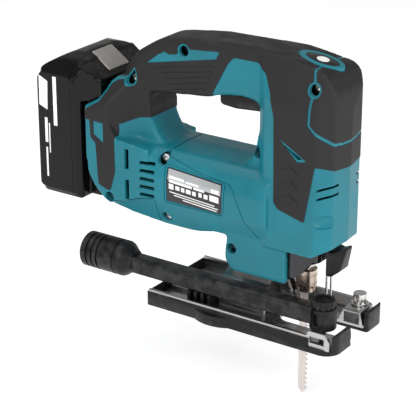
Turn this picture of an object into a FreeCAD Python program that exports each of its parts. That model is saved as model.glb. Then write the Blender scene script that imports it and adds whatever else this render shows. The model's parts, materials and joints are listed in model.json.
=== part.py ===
# Cordless D-handle jigsaw: clamshell housing, brushless motor, crank drive, tilting base and slide battery.
# Millimetres, +X towards the blade, +Y to the tool's left, +Z up. The origin is the centre of the sole.
import FreeCAD, Part

import math
import os

import Sketcher
from FreeCAD import Placement, Rotation, Vector

doc = FreeCAD.newDocument("Jigsaw")

# ---------------------------------------------------------------- driving dimensions

SIZES = {
    # base
    "base_half_length": 82.0,
    "base_half_width": 40.0,
    "sole_thick": 1.5,
    "steel_thick": 2.4,
    "flange_top": 12.5,
    "blade_gap": 12.2,
    "gap_start": 16.0,
    "tilt_height": 6.0,
    "arch_radius": 28.0,
    "bolt_place": -12.0,
    # housing
    "wall": 3.0,
    "rubber": 1.5,
    "handle_half": 17.0,
    "barrel_half": 33.0,
    "seat_half": 36.0,
    "nose_half": 28.0,
    "leg_half": 25.0,
    # drive
    "motor_height": 92.0,
    "gear_module": 1.0,
    "gear_teeth": 44.0,
    "pinion_teeth": 10.0,
    "gear_back": 14.0,
    "gear_width": 8.0,
    "crank_throw": 13.0,
    "plunger_place": 36.0,
    "plunger_side": 10.0,
    "clamp_radius": 8.0,
    "clamp_bottom": 27.0,
    "clamp_top": 46.0,
    "blade_thick": 1.2,
    "blade_tip": -59.0,
    "roller_radius": 6.0,
    "roller_place": 24.6,
    "roller_height": 20.0,
    # dust nozzle
    "nozzle_side": -27.5,
    "nozzle_height": 27.0,
    "nozzle_radius": 14.0,
    "port_radius": 11.5,
    # battery
    "pack_back": -185.0,
    "pack_front": -144.0,
    "pack_half": 37.5,
    "pack_split": -152.0,
    "cell_radius": 9.0,
    "cell_length": 65.0,
}

sheet = doc.addObject("Spreadsheet::Sheet", "dims")
for row, (alias, value) in enumerate(SIZES.items(), start=1):
    sheet.set(f"A{row}", alias)
    sheet.set(f"B{row}", str(value))
    sheet.setAlias(f"B{row}", alias)
doc.recompute()


def size(alias):
    """A driving dimension, read back from the sheet."""
    return float(sheet.get(alias))


# ---------------------------------------------------------------- helpers

TURNS = {
    "X": Rotation(Vector(0, 1, 0), 90),
    "Y": Rotation(Vector(1, 0, 0), -90),
    "Z": Rotation(),
}
PLANES = {
    "XZ": (Rotation(Vector(1, 0, 0), 90), Vector(0, 1, 0)),
    "XY": (Rotation(), Vector(0, 0, 1)),
    "YZ": (Rotation(Vector(1, 1, 1), 120), Vector(1, 0, 0)),
}
ROLES = {"XZ": "XZ_Plane", "XY": "XY_Plane", "YZ": "YZ_Plane"}
nodes = []


def bind(thing, prop, value):
    """Set a property by an expression; value is a number or an expression on the sheet."""
    thing.setExpression(prop, str(value))


def put(thing, place):
    for axis, value in zip("xyz", place):
        bind(thing, "Placement.Base." + axis, value)
    return thing


def box(name, low, extent):
    """A block from its lowest corner and its extents."""
    solid = doc.addObject("Part::Box", name)
    for prop, value in zip(("Length", "Width", "Height"), extent):
        bind(solid, prop, value)
    return put(solid, low)


def span(name, x, y, z):
    """A block from its three ranges, each a (low, high) pair of numbers."""
    low = (x[0], y[0], z[0])
    return box(name, low, (x[1] - x[0], y[1] - y[0], z[1] - z[0]))


def rod(name, radius, length, start, axis="Z"):
    """A cylinder from start along an axis."""
    solid = doc.addObject("Part::Cylinder", name)
    solid.Placement = Placement(Vector(), TURNS[axis])
    bind(solid, "Radius", radius)
    bind(solid, "Height", length)
    return put(solid, start)


def joined(name, *things):
    """All the things as one; a single thing needs no fusing."""
    if len(things) == 1:
        return things[0]
    solid = doc.addObject("Part::MultiFuse", name)
    solid.Shapes = list(things)
    return solid


def common(name, *things):
    solid = doc.addObject("Part::MultiCommon", name)
    solid.Shapes = list(things)
    return solid


def less(name, base, *tools):
    """base with each tool cut from it."""
    solid = doc.addObject("Part::Cut", name)
    solid.Base = base
    solid.Tool = tools[0] if len(tools) == 1 else joined(name + "_tools", *tools)
    return solid


def corner_path(points):
    """Edges of a closed outline of (u, v) or (u, v, radius) corners, with their end indices."""
    flat = [(Vector(p[0], p[1], 0), p[2] if len(p) > 2 else 0.0) for p in points]
    count = len(flat)
    corners = []
    for i, (here, radius) in enumerate(flat):
        back = (flat[i - 1][0] - here).normalize()
        ahead = (flat[(i + 1) % count][0] - here).normalize()
        if radius == 0:
            corners.append((here, here, None))
            continue
        half = back.getAngle(ahead) / 2
        run = radius / math.tan(half)
        middle = here + (back + ahead).normalize() * (radius / math.sin(half))
        corners.append((here + back * run, here + ahead * run, (middle, radius)))
    edges = []
    for i, (enter, leave, arc) in enumerate(corners):
        if arc:
            middle, radius = arc
            a = math.atan2(enter.y - middle.y, enter.x - middle.x)
            b = math.atan2(leave.y - middle.y, leave.x - middle.x)
            left = ((enter - middle).cross(leave - middle)).z > 0
            circle = Part.Circle(middle, Vector(0, 0, 1), radius)
            if left:
                edges.append((Part.ArcOfCircle(circle, a, b), 1, 2))
            else:
                edges.append((Part.ArcOfCircle(circle, b, a), 2, 1))
        following = corners[(i + 1) % count][0]
        if leave.distanceToPoint(following) > 1e-6:
            edges.append((Part.LineSegment(leave, following), 1, 2))
    return edges


def draw(sketch, points):
    """Draw a closed outline in a sketch and tie its corners together."""
    first = sketch.GeometryCount
    edges = corner_path(points)
    for edge, _, _ in edges:
        sketch.addGeometry(edge, False)
    for i, (_, _, end) in enumerate(edges):
        j = (i + 1) % len(edges)
        sketch.addConstraint(Sketcher.Constraint("Coincident", first + i, end, first + j, edges[j][1]))
    return sketch


def prism(name, plane, points, low, high, inset=None):
    """An outline drawn on a plane and extruded between two offsets from it."""
    turn, way = PLANES[plane]
    sketch = doc.addObject("Sketcher::SketchObject", name + "_outline")
    sketch.Placement = Placement(Vector(), turn)
    draw(sketch, points)
    face = sketch
    if inset:
        face = doc.addObject("Part::Offset2D", name + "_inset")
        face.Source = sketch
        bind(face, "Value", f"-({inset})")
        face.Join = 2
    solid = doc.addObject("Part::Extrusion", name)
    solid.Base = face
    solid.DirMode = "Custom"
    solid.Dir = way
    solid.Solid = True
    bind(solid, "LengthFwd", high)
    bind(solid, "LengthRev", f"-({low})")
    return solid


def body_plane(body, plane):
    """The origin plane of a body, found by its role."""
    return next(f for f in body.Origin.OriginFeatures if f.Role == ROLES[plane])


def body_sketch(body, name, plane, points):
    """A sketch on one of a body's own origin planes."""
    sketch = body.newObject("Sketcher::SketchObject", name)
    sketch.AttachmentSupport = [(body_plane(body, plane), "")]
    sketch.MapMode = "FlatFace"
    return draw(sketch, points)


def node(thing, label):
    """Name a finished sub-part."""
    thing.Label = label
    nodes.append(thing)
    return thing


def mirrored(name, thing, normal=(0, 1, 0)):
    """The same piece on the other side of the middle plane."""
    other = doc.addObject("Part::Mirroring", name)
    other.Source = thing
    other.Normal = normal
    return other


# ---------------------------------------------------------------- base and cover shoe

half_l = size("base_half_length")
half_w = size("base_half_width")
gap = size("blade_gap")
gap_start = size("gap_start")
steel = size("steel_thick")
sole = size("sole_thick")


def fork(reach, width, slot, start, corner):
    """Plan of a plate with a blade slot open at the front."""
    return [
        (-reach, -width, 3),
        (reach, -width, corner),
        (reach, -slot, 2),
        (start, -slot, slot - 2),
        (start, slot, slot - 2),
        (reach, slot, 2),
        (reach, width, corner),
        (-reach, width, 3),
    ]


cover_gap = gap - 0.7
cover_plan = fork(half_l, half_w, cover_gap, gap_start, 12)
cover_skirt = prism("cover_skirt", "XY", cover_plan, 0, "dims.flange_top - 2")
cover_hollow = span("cover_hollow", (-half_l + 1.3, half_l - 3), (-half_w + 1.4, half_w - 1.4), (sole, 20))
cover_lip = span("cover_lip", (gap_start - 1.5, half_l), (-gap - 3, gap + 3), (sole, 5))
fence_notch = span("fence_notch", (61, 79), (-half_w - 1, half_w + 1), (4, 20))
nose_wall = prism(
    "nose_wall",
    "XY",
    [
        (62, -half_w),
        (half_l, -half_w, 12),
        (half_l, -gap, 2),
        (half_l - 3, -gap),
        (half_l - 3, -half_w + 1.4, 9),
        (62, -half_w + 1.4),
    ],
    0,
    15,
)
nose_walls = joined("nose_walls", nose_wall, mirrored("nose_wall_left", nose_wall))
wrench_bulge = rod("wrench_bulge", 30, 8, (-22, -half_w + 26, 0))
bulge_limit = span("bulge_limit", (-44, 0), (-half_w - 4, -half_w + 0.6), (0, 8))
bulge = common("bulge", wrench_bulge, bulge_limit)
cover_shell = less("cover_shell", cover_skirt, cover_hollow, cover_lip)
cover_all = joined("cover_all", cover_shell, nose_walls, bulge)
wrench_hole = rod("wrench_hole", 5, 3, ("dims.bolt_place", 0, -1))
cover_slot = prism("cover_slot", "XY", fork(half_l + 5, half_w + 9, cover_gap, gap_start, 12)[2:6], -1, 30)
node(less("cover", cover_all, fence_notch, wrench_hole, cover_slot), "cover_shoe")

# pressed steel tray with upturned side flanges and a rip fence slot
tray = doc.addObject("PartDesign::Body", "tray")
tray_plan = body_sketch(tray, "tray_plan", "XY", fork(half_l - 3.2, half_w - 1.5, gap, gap_start + 1, 10))
tray_floor = tray.newObject("PartDesign::Pad", "tray_floor")
tray_floor.Profile = tray_plan
bind(tray_floor, "Length", "dims.steel_thick")
put(tray_plan, (0, 0, 0))
bind(tray_plan, "AttachmentOffset.Base.z", "dims.sole_thick")
flange_side = -half_w + 1.5
flange = span("flange", (-half_l + 1.5, 60), (flange_side, flange_side + steel), (sole, size("flange_top")))
flange_left = mirrored("flange_left", flange)
ear = prism(
    "ear",
    "XZ",
    [(59, sole), (72, sole), (72, 4.1), (78, 4.1), (78, 11, 3), (74.5, 16.5, 2), (61, 16.5, 2), (59, 12)],
    flange_side,
    flange_side + steel,
)
ear_slot = span("ear_slot", (62, 74), (-half_w, -half_w + 6), (7.5, 12.5))
bridge = prism(
    "bridge",
    "XZ",
    [
        (57, sole + steel),
        (61, 15, 2),
        (75, 15, 2),
        (77.5, sole + steel),
        (74.5, sole + steel),
        (74.5, 12.6),
        (61.5, 12.6),
        (61.5, sole + steel),
    ],
    gap,
    31,
)
bolt_hole = rod("bolt_hole", 2.6, 14, (68, 24.5, 5))
thumb_hole = rod("thumb_hole", 2.7, 6, (64, -23, 0))
plate_wrench_hole = rod("plate_wrench_hole", 5, 8, ("dims.bolt_place", 0, 0))
rear_rib = span("rear_rib", (-77, -59), (-13, 13), (sole + steel, sole + steel + 3.2))
steel_all = joined("steel_all", tray, flange, flange_left, ear, bridge, rear_rib)
node(less("steel", steel_all, ear_slot, bolt_hole, thumb_hole, plate_wrench_hole), "base_plate")

# arched seat on which the leg tilts
tilt_z = size("tilt_height")
arch_r = size("arch_radius")
seat_front = 12
arch = rod("arch", "dims.arch_radius", seat_front + 28, (-28, 0, "dims.tilt_height"), "X")
arch_inner = rod("arch_inner", "dims.arch_radius - dims.steel_thick", 50, (-33, 0, "dims.tilt_height"), "X")
arch_below = span("arch_below", (-30, 16), (-40, 40), (-40, sole + steel))
bolt_x = size("bolt_place")
arch_slot = span("arch_slot", (bolt_x - 2.8, bolt_x + 2.8), (-3.4, 22.6), (12, 60))
arch_limit = span("arch_limit", (-30, 16), (-20.4, 40), (0, 60))
arch_feet = span("arch_feet", (-28, seat_front), (-33, 33), (sole + steel, sole + steel + 2))
arch_wall = span("arch_wall", (-28, seat_front), (-20.4, -20.4 + steel), (sole + steel, 24.6))
arch_crown = less("arch_crown", common("arch_trim", arch, arch_limit), arch_below, arch_slot)
arch_clear = span("arch_clear", (-30, 16), (-20.4 + steel, 25), (0, 9))
arch_hollow_side = span("arch_hollow_side", (-40, 40), (-20.4 + steel, 40), (0, 60))
arch_hollow = common("arch_hollow", arch_inner, arch_hollow_side)
arch_fused = joined("arch_fused", arch_crown, arch_feet, arch_wall)
arch_shell = less("arch_shell", arch_fused, arch_clear, arch_hollow)
node(arch_shell, "bevel_seat")

node(
    joined(
        "fence_screw",
        rod("fence_screw_head", 5, 7, (68, 24.5, 17)),
        rod("fence_screw_washer", 6.5, 1.6, (68, 24.5, 15.2)),
        rod("fence_screw_shank", 2.5, 11, (68, 24.5, 6)),
    ),
    "fence_bolt",
)
CLIP_START = -50
CLIP_PITCH = 6
CLIP_SIDE = (-31, -16)
clip_foot = span("clip_foot", (CLIP_START - 2, CLIP_START + 22), CLIP_SIDE, (sole + steel, 7))
clip_fins = []
for i in range(4):
    fin_x = CLIP_START + CLIP_PITCH * i
    clip_fins.append(span(f"clip_fin_{i}", (fin_x, fin_x + 2.5), CLIP_SIDE, (sole + steel, 17)))
node(joined("clip", clip_foot, *clip_fins), "nozzle_clip")

# ---------------------------------------------------------------- dust nozzle

channel = prism(
    "channel", "YZ", [(-34, 19, 2), (-21, 19, 2), (-21, 32, 3), (-34, 32, 3)], -110, 60
)
channel_bore = prism(
    "channel_bore", "YZ", [(-32, 21, 1), (-23, 21, 1), (-23, 30, 1), (-32, 30, 1)], -112, 52
)
drum = rod("drum", "dims.nozzle_radius", 37, (-145, "dims.nozzle_side", "dims.nozzle_height"), "X")
neck = doc.addObject("Part::Cone", "neck")
neck.Placement = Placement(Vector(), TURNS["X"])
bind(neck, "Radius1", "dims.nozzle_radius")
bind(neck, "Radius2", 8)
bind(neck, "Height", 8)
put(neck, (-108, "dims.nozzle_side", "dims.nozzle_height"))
drum_bore = rod("drum_bore", "dims.port_radius", 35, (-146, "dims.nozzle_side", "dims.nozzle_height"), "X")
grooves = []
for i in range(3):
    start = (-141 + 6.5 * i, "dims.nozzle_side", "dims.nozzle_height")
    disc = rod(f"groove_{i}_disc", 16, 1.4, start, "X")
    centre = rod(f"groove_{i}_core", "dims.nozzle_radius - 0.9", 1.4, start, "X")
    grooves.append(less(f"groove_{i}", disc, centre))
nozzle_boss = rod("nozzle_boss", 10, 16.5, (64, -23, 14))
boss_counter = rod("boss_counter", 9.2, 6, (64, -23, 29.5))
boss_hole = rod("boss_hole", 2.8, 30, (64, -23, 5))
inlet = span("inlet", (22, 50), (-24, -18), (21.5, 29.5))
floor_limit = span("floor_limit", (54, 80), (-40, -10), (13, 40))
nozzle_body = joined("nozzle_body", channel, drum, neck, common("boss_trim", nozzle_boss, floor_limit))
nozzle_cuts = [channel_bore, drum_bore, *grooves, boss_counter, boss_hole, inlet]
node(less("nozzle", nozzle_body, *nozzle_cuts), "dust_nozzle")

knob = doc.addObject("PartDesign::Body", "knob")
KNOB_RADIUS = 9
knob_corners = []
for i in range(12):
    angle = math.radians(30 * i)
    knob_corners.append((KNOB_RADIUS * math.cos(angle), KNOB_RADIUS * math.sin(angle), 1.2))
knob_disc = body_sketch(knob, "knob_disc", "XY", knob_corners)
bind(knob_disc, "AttachmentOffset.Base.z", 30)
knob_pad = knob.newObject("PartDesign::Pad", "knob_pad")
knob_pad.Profile = knob_disc
bind(knob_pad, "Length", 7)
put(knob, (64, -23, 0))
node(joined("thumb", knob, rod("thumb_shank", 2.5, 26, (64, -23, 4.5))), "nozzle_screw")

# ---------------------------------------------------------------- housing outlines

HANDLE = [
    (-126, 160), (-126, 177, 8), (-112, 193, 12), (-84, 207, 30), (-46, 209.4), (24, 209.4),
    (45, 205.4), (45, 100), (-60, 100), (-112, 100), (-112, 140),
]
OPENING = [
    (-83, 159, 6), (-76, 128, 10), (-68, 124, 8), (-8, 126, 6), (-1, 132, 6), (2, 158, 5),
    (0, 167, 6), (-30, 170, 4), (-40, 165, 4),
]
SEAT = [
    (-140, 148), (-140, 112), (-138, 95), (-132, 85), (-125, 78), (-118, 73), (-95, 68),
    (-78, 66), (-78, 150), (-95, 170), (-112, 172), (-118, 165), (-124, 155), (-129, 151),
]
SEAT_SECTION = [(-36, 60), (36, 60), (36, 150, 12), (17, 176), (-17, 176), (-36, 150, 12)]
BARREL = [(-33, 61, 22), (33, 61, 22), (33, 123, 22), (-33, 123, 22)]
NOSE = [(2, -17), (12, -26), (20, -28), (56.6, -28), (71, 0), (56.6, 28), (20, 28), (12, 26), (2, 17)]
NOSE_SIDE = [(0, 67), (54, 67), (72, 76), (72, 180), (68, 194, 8), (60, 202.5, 8), (24, 209.4), (0, 209.4)]
NOSE_SECTION = [(-29, 60), (29, 60), (29, 178, 20), (17, 210, 8), (-17, 210, 8), (-29, 178, 20)]
LEG = [(-19, 80), (-19, 65), (-21, 49), (-15, 40), (32, 40), (32, 80)]


def hull(tag, inset):
    """The closed outer form of the whole housing, grown inwards by an inset."""
    handle_edge = f"dims.handle_half - {inset}"
    handle = prism("handle" + tag, "XZ", HANDLE, f"-({handle_edge})", handle_edge, inset)
    seat_edge = f"dims.seat_half - {inset}"
    seat = prism("seat" + tag, "XZ", SEAT, f"-({seat_edge})", seat_edge, inset)
    seat_section = prism("seat_section" + tag, "YZ", SEAT_SECTION, -150, -60, inset)
    barrel = prism("barrel" + tag, "YZ", BARREL, f"-125 + {inset}", f"20 - {inset}", inset)
    nose = prism("nose" + tag, "XY", NOSE, 60, 215, inset)
    nose_side = prism("nose_side" + tag, "XZ", NOSE_SIDE, -40, 40, inset)
    nose_section = prism("nose_section" + tag, "YZ", NOSE_SECTION, -10, 80, inset)
    leg_edge = f"dims.leg_half - {inset}"
    leg = prism("leg" + tag, "XZ", LEG, f"-({leg_edge})", leg_edge, inset)
    parts = [
        handle,
        common("seat_form" + tag, seat, seat_section),
        barrel,
        common("nose_form" + tag, nose, nose_side, nose_section),
        leg,
    ]
    return joined("form" + tag, *parts)


outer = hull("_outer", 0)
under_rubber = hull("_core", "dims.rubber")
hollow = hull("_hollow", "dims.wall")

opening = prism("opening", "XZ", OPENING, -45, 45)
opening_core = prism("opening_core", "XZ", OPENING, -45, 45, "-dims.rubber")
opening_wall = prism("opening_wall", "XZ", OPENING, -45, 45, "-dims.wall")

shell_solid = less("shell_solid", outer, opening)
core_solid = less("core_solid", under_rubber, opening_core)
hollow_solid = less("hollow_solid", hollow, opening_wall)
skin = less("skin", shell_solid, core_solid)

# ---------------------------------------------------------------- openings cut in the housing

rail_slot = span("rail_slot", (-141, -133.8), (-27, 27), (60, 240))
rail_flange_slot = span("rail_flange_slot", (-133.8, -127.6), (-30.4, 30.4), (60, 240))
contact_window = span("contact_window", (-130, -117), (-16, 16), (94, 114))
trigger_window = span("trigger_window", (-37.5, 4.5), (-9, 9), (150, 176))
nose_mouth = span("nose_mouth", (27, 56), (-22, 22), (60, 76))
leg_mouth = span("leg_mouth", (4, 36), (-21, 21), (39, 70))
bolt_mouth = rod("bolt_mouth", 3.2, 10, ("dims.bolt_place", 0, 36))
lock_hole = rod("lock_hole", 5.3, 30, (-10, 5, 184), "Y")
lever_hole = rod("lever_hole", 5.3, 40, (-3, 10, 56), "Y")
lamp_way = Rotation(Vector(0, 0, 1), Vector(0.889, -0.457, 0))
lamp_hole = doc.addObject("Part::Cylinder", "lamp_hole")
bind(lamp_hole, "Radius", 4.3)
bind(lamp_hole, "Height", 14)
lamp_hole.Placement = Placement(Vector(56.3, -10.1, 95), lamp_way)

vents = []
for side in (-1, 1):
    tag = "r" if side < 0 else "l"
    reach = (-40, -28) if side < 0 else (28, 40)
    for i, low in enumerate((79.5, 104)):
        vents.append(span(f"vent_tall_{tag}{i}", (-104, -101), reach, (low, low + 16)))
    for i in range(5):
        z = 86.5 + 6.3 * i
        vents.append(span(f"vent_wide_{tag}{i}", (-92, -78), reach, (z - 1.25, z + 1.25)))
    for i in range(2):
        slot = doc.addObject("Part::Box", f"nose_vent_{tag}{i}")
        bind(slot, "Length", 12)
        bind(slot, "Width", 14)
        bind(slot, "Height", 2)
        turn = Rotation(Vector(0, 0, 1), -27.2 * side).multiply(Rotation(Vector(1, 0, 0), -30 * side))
        slot.Placement = Placement(Vector(58, side * 19 - 7, 112 + 7 * i), turn)
        vents.append(slot)

# screws that close the clamshell: x, z, outer half width and boss reach at each
SCREWS = [
    (-118, 79, 36), (-72.5, 116.5, 31), (-72.5, 70, 28), (-14, 57.5, 25),
    (-61, 199, 17), (-107, 170, 21), (52.6, 191.5, 24), (3, 133, 17),
]
bosses_right = []
bosses_left = []
wells = []
screws = []
for i, (x, z, w) in enumerate(SCREWS):
    seat_y = w - 9
    bosses_right.append(rod(f"boss_right_{i}", 4.6, w - 1.5, (x, -w + 1.5, z), "Y"))
    bosses_left.append(rod(f"boss_left_{i}", 4.6, w - 1.5, (x, 0, z), "Y"))
    wells.append(rod(f"well_{i}", 3.7, 40, (x, -seat_y - 40, z), "Y"))
    wells.append(rod(f"well_bore_{i}", 1.8, seat_y + w - 4, (x, -seat_y, z), "Y"))
    head = rod(f"screw_head_{i}", 3.2, 2.6, (x, -seat_y - 2.6, z), "Y")
    recess = rod(f"screw_recess_{i}", 1.5, 1.5, (x, -seat_y - 2.7, z), "Y")
    shank = rod(f"screw_shank_{i}", 1.7, seat_y + w - 5, (x, -seat_y, z), "Y")
    screws.append(less(f"screw_{i}", joined(f"screw_blank_{i}", head, shank), recess))
node(joined("screws", *screws), "housing_screws")

# ---------------------------------------------------------------- rubber overmould, right and left

GRIP = [
    (-160, 139), (-110, 137), (-99, 142), (-83, 144), (-68, 150), (-60, 158), (-83, 162),
    (-40, 164.8), (-22, 176), (-12, 204), (8, 204), (20, 190), (22, 104), (32, 104), (54, 97.5),
    (61, 141), (75, 141), (90, 151), (90, 230), (-160, 230),
]
PAD = [(-135, 144), (-113, 155), (-112, 100), (-117, 84), (-128, 88), (-130, 120), (-134, 124)]
grip_zone = prism("grip_zone", "XZ", GRIP, -50, 50)
pad_zone = prism("pad_zone", "XZ", PAD, -50, 50)
gap_zone = span("gap_zone", (-113.5, -110), (-50, 50), (60, 160))
right_side = span("right_side", (-220, 140), (-60, 0), (0, 260))
left_side = span("left_side", (-220, 140), (0, 60), (0, 260))
holes = [rail_slot, rail_flange_slot, lamp_hole, lock_hole, lever_hole, trigger_window]
slots = joined("slots", *holes, *vents)
wells_all = joined("wells_all", *wells)
rubber_grip = common("rubber_grip", skin, grip_zone)
rubber_all = less("rubber_all", rubber_grip, slots, wells_all, pad_zone, gap_zone)
pads_all = less("pads_all", common("rubber_pads", skin, pad_zone), slots, wells_all, gap_zone)
for side, half in (("right", right_side), ("left", left_side)):
    node(common(f"grip_{side}_piece", rubber_all, half), f"grip_{side}")
    node(common(f"pad_{side}_piece", pads_all, half), f"rear_pad_{side}")

# ---------------------------------------------------------------- housing halves

plate_pocket = span("plate_pocket", (-67, -18), (-36, -31.6), (86, 112))
plate = span("plate", (-66.7, -18.3), (-32.8, -31.7), (86.3, 111.7))
node(plate, "rating_plate")
rubber_zone = joined("rubber_zone", rubber_all, pads_all)
cut_tools = [slots, wells_all, contact_window, nose_mouth, leg_mouth, bolt_mouth, plate_pocket]
cuts = joined("cuts", *cut_tools)
for side, half, bosses in (("right", right_side, bosses_right), ("left", left_side, bosses_left)):
    wall = less(f"wall_{side}", shell_solid, hollow_solid)
    full = joined(f"half_{side}", wall, *bosses)
    trimmed = less(f"trim_{side}", common(f"keep_{side}", full, shell_solid, half), rubber_zone, cuts)
    node(trimmed, f"housing_{side}")

# ---------------------------------------------------------------- small outside pieces of the housing

BADGE_OVAL = [(-18, -11, 10.9), (18, -11, 10.9), (18, 11, 10.9), (-18, 11, 10.9)]
badge_ring = prism("badge_ring", "XY", BADGE_OVAL, 0, 1.5)
top_slope = math.degrees(math.atan2(209.4 - 202.5, 60 - 24))
badge = doc.addObject("Part::MultiFuse", "badge")
badge.Shapes = [badge_ring, rod("badge_centre", 6, 1.9, (2, 0, 0))]
badge.Placement = Placement(Vector(42.5, 0, 206.0), Rotation(Vector(0, 1, 0), top_slope))
node(badge, "nose_badge")

lens = doc.addObject("Part::Cylinder", "lens")
bind(lens, "Radius", 4.1)
bind(lens, "Height", 6)
lens.Placement = Placement(Vector(59.0, -11.5, 95), lamp_way)
node(lens, "lamp_lens")
lamp = doc.addObject("Part::Cylinder", "lamp")
bind(lamp, "Radius", 2.4)
bind(lamp, "Height", 3)
lamp.Placement = Placement(Vector(55.9, -9.9, 95), lamp_way)
node(lamp, "work_lamp")

# ---------------------------------------------------------------- motor and crank drive

motor_z = size("motor_height")
teeth = int(size("gear_teeth"))
pinion_teeth = int(size("pinion_teeth"))
module = size("gear_module")
gear_r = module * teeth / 2
pinion_r = module * pinion_teeth / 2
gear_z = motor_z + gear_r + pinion_r
back = size("gear_back")
width = size("gear_width")


def toothed(name, count, phase, bore, z):
    """A spur gear about X at a height, with a tooth centred at a phase angle from +Z."""
    pitch_r = module * count / 2
    tooth = 2 * math.pi / count
    points = []
    for i in range(count):
        centre = math.radians(phase) + i * tooth
        profile = (
            (pitch_r - 1.2 * module, -0.26),
            (pitch_r, -0.22),
            (pitch_r + 0.9 * module, -0.10),
            (pitch_r + 0.9 * module, 0.10),
            (pitch_r, 0.22),
            (pitch_r - 1.2 * module, 0.26),
        )
        for radius, share in profile:
            angle = centre + share * tooth
            points.append((-radius * math.sin(angle), radius * math.cos(angle)))
    gear = doc.addObject("PartDesign::Body", name + "_body")
    profile_sketch = body_sketch(gear, name + "_profile", "YZ", points)
    pad = gear.newObject("PartDesign::Pad", name + "_pad")
    pad.Profile = profile_sketch
    bind(pad, "Length", "dims.gear_width")
    bored = less(name, gear, rod(name + "_bore", bore, 30, (-5, 0, 0), "X"))
    doc.recompute()
    return put(bored, ("dims.gear_back", 0, z))


half_tooth = 180 / pinion_teeth
crank_gear = toothed("crank_gear", teeth, 0, 3.06, gear_z)
node(crank_gear, "crank_gear")
throw = size("crank_throw")
node(rod("crank_pin_rod", 3.5, 4.4, (back + width, 0, gear_z - throw), "X"), "crank_pin")
node(toothed("pinion", pinion_teeth, half_tooth, 2.52, motor_z), "pinion")
node(rod("gear_axle", 3.0, 16.5, (5.5, 0, gear_z), "X"), "gear_axle")

stator = less(
    "stator_ring",
    rod("stator_body", 27, 34, (-62, 0, motor_z), "X"),
    rod("stator_bore", 15.2, 36, (-63, 0, motor_z), "X"),
)
node(stator, "motor_stator")
coils = []
for i in range(6):
    angle = math.radians(60 * i)
    y = 20.5 * math.sin(angle)
    z = motor_z + 20.5 * math.cos(angle)
    coils.append(rod(f"coil_front_{i}", 4.2, 3.6, (-28, y, z), "X"))
    coils.append(rod(f"coil_rear_{i}", 4.2, 3.6, (-65.6, y, z), "X"))
node(joined("coils", *coils), "stator_coils")
rotor = joined(
    "rotor_stack",
    rod("rotor_core", 14.7, 32, (-61, 0, motor_z), "X"),
    rod("rotor_shaft", 2.5, 97, (-75, 0, motor_z), "X"),
)
node(rotor, "motor_rotor")
for name, x in (("rear_bearing", -74), ("front_bearing", 2)):
    ring = less(
        name + "_ring",
        rod(name + "_outer", 8, 6, (x, 0, motor_z), "X"),
        rod(name + "_inner", 2.56, 8, (x - 1, 0, motor_z), "X"),
    )
    node(ring, name)
node(
    less(
        "bearing_plate",
        rod("end_disc", 26, 3, (-73, 0, motor_z), "X"),
        rod("end_bore", 8.02, 5, (-74, 0, motor_z), "X"),
        rod("end_screw_top", 5, 5, (-74, 0, 116.5), "X"),
        span("end_top", (-80, -60), (-30, 30), (109, 125)),
        span("end_bottom", (-80, -60), (-30, 30), (60, 76)),
    ),
    "motor_end_plate",
)

fan_body = doc.addObject("PartDesign::Body", "fan_body")
fan_hub = body_sketch(fan_body, "fan_hub", "YZ", [(-7, -7, 6), (7, -7, 6), (7, 7, 6), (-7, 7, 6)])
fan_pad = fan_body.newObject("PartDesign::Pad", "fan_pad")
fan_pad.Profile = fan_hub
bind(fan_pad, "Length", 9)
vane_sketch = body_sketch(fan_body, "fan_vane", "YZ", [(-0.8, 5), (0.8, 5), (5.6, 23), (4.0, 23.5)])
vane_pad = fan_body.newObject("PartDesign::Pad", "vane_pad")
vane_pad.Profile = vane_sketch
bind(vane_pad, "Length", 8)
vanes = fan_body.newObject("PartDesign::PolarPattern", "vanes")
vanes.Originals = [vane_pad]
vanes.Axis = (vane_sketch, ["N_Axis"])
vanes.Angle = 360
vanes.Occurrences = 11
fan_body.Tip = vanes
doc.recompute()
put(fan_body, (-18, 0, motor_z))
node(less("fan", fan_body, rod("fan_bore", 2.51, 20, (-20, 0, motor_z), "X")), "cooling_fan")

# light alloy gear case with the arms that carry the plunger bushes
case_solid = joined(
    "case_solid",
    span("case_plate", (1, 11.5), (-22, 22), (66.5, 116)),
    span("case_neck", (5.5, 11.5), (-15, 15), (110, 125)),
    span("case_post", (8.5, 12.5), (-13, 13), (120, 158)),
    span("case_upper", (8.5, 47), (-13, 13), (145.5, 158)),
    span("case_lower", (8.5, 47), (-13, 13), (73, 85.5)),
    span("case_leg", (-14.5, 5), (-19, 19), (45.3, 68)),
    span("case_cheek_right", (4, 22), (-14, -9), (46, 74)),
    span("case_cheek_left", (4, 22), (9, 14), (46, 74)),
)
case_cuts = [
    rod("case_bearing", 8.02, 12, (2, 0, motor_z), "X"),
    rod("case_shaft", 6.2, 20, (-1, 0, motor_z), "X"),
    rod("case_axle", 3.01, 30, (2, 0, gear_z), "X"),
    span("case_bush_low", (28, 44), (-8, 8), (70, 90)),
    span("case_bush_high", (28, 44), (-8, 8), (140, 160)),
    rod("case_boss_leg", 4.8, 60, (-14, -30, 57.5), "Y"),
    rod("case_boss_top", 4.8, 60, (3, -30, 133), "Y"),
    rod("case_bolt", 2.52, 30, ("dims.bolt_place", 0, 40)),
    rod("case_lever", 5.3, 30, (-3, 5, 56), "Y"),
    rod("case_pin", 2.02, 40, (14, -20, 60), "Y"),
]
node(less("case", case_solid, *case_cuts), "gear_case")

rod_x = size("plunger_place")
side = size("plunger_side") / 2
for name, low in (("lower_bush", 73), ("upper_bush", 145.5)):
    block = span(name + "_block", (28.02, 43.98), (-7.98, 7.98), (low, low + 12.5))
    fit = side + 0.06
    hole = span(name + "_hole", (rod_x - fit, rod_x + fit), (-fit, fit), (low - 1, low + 14))
    node(less(name, block, hole), name)

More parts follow.
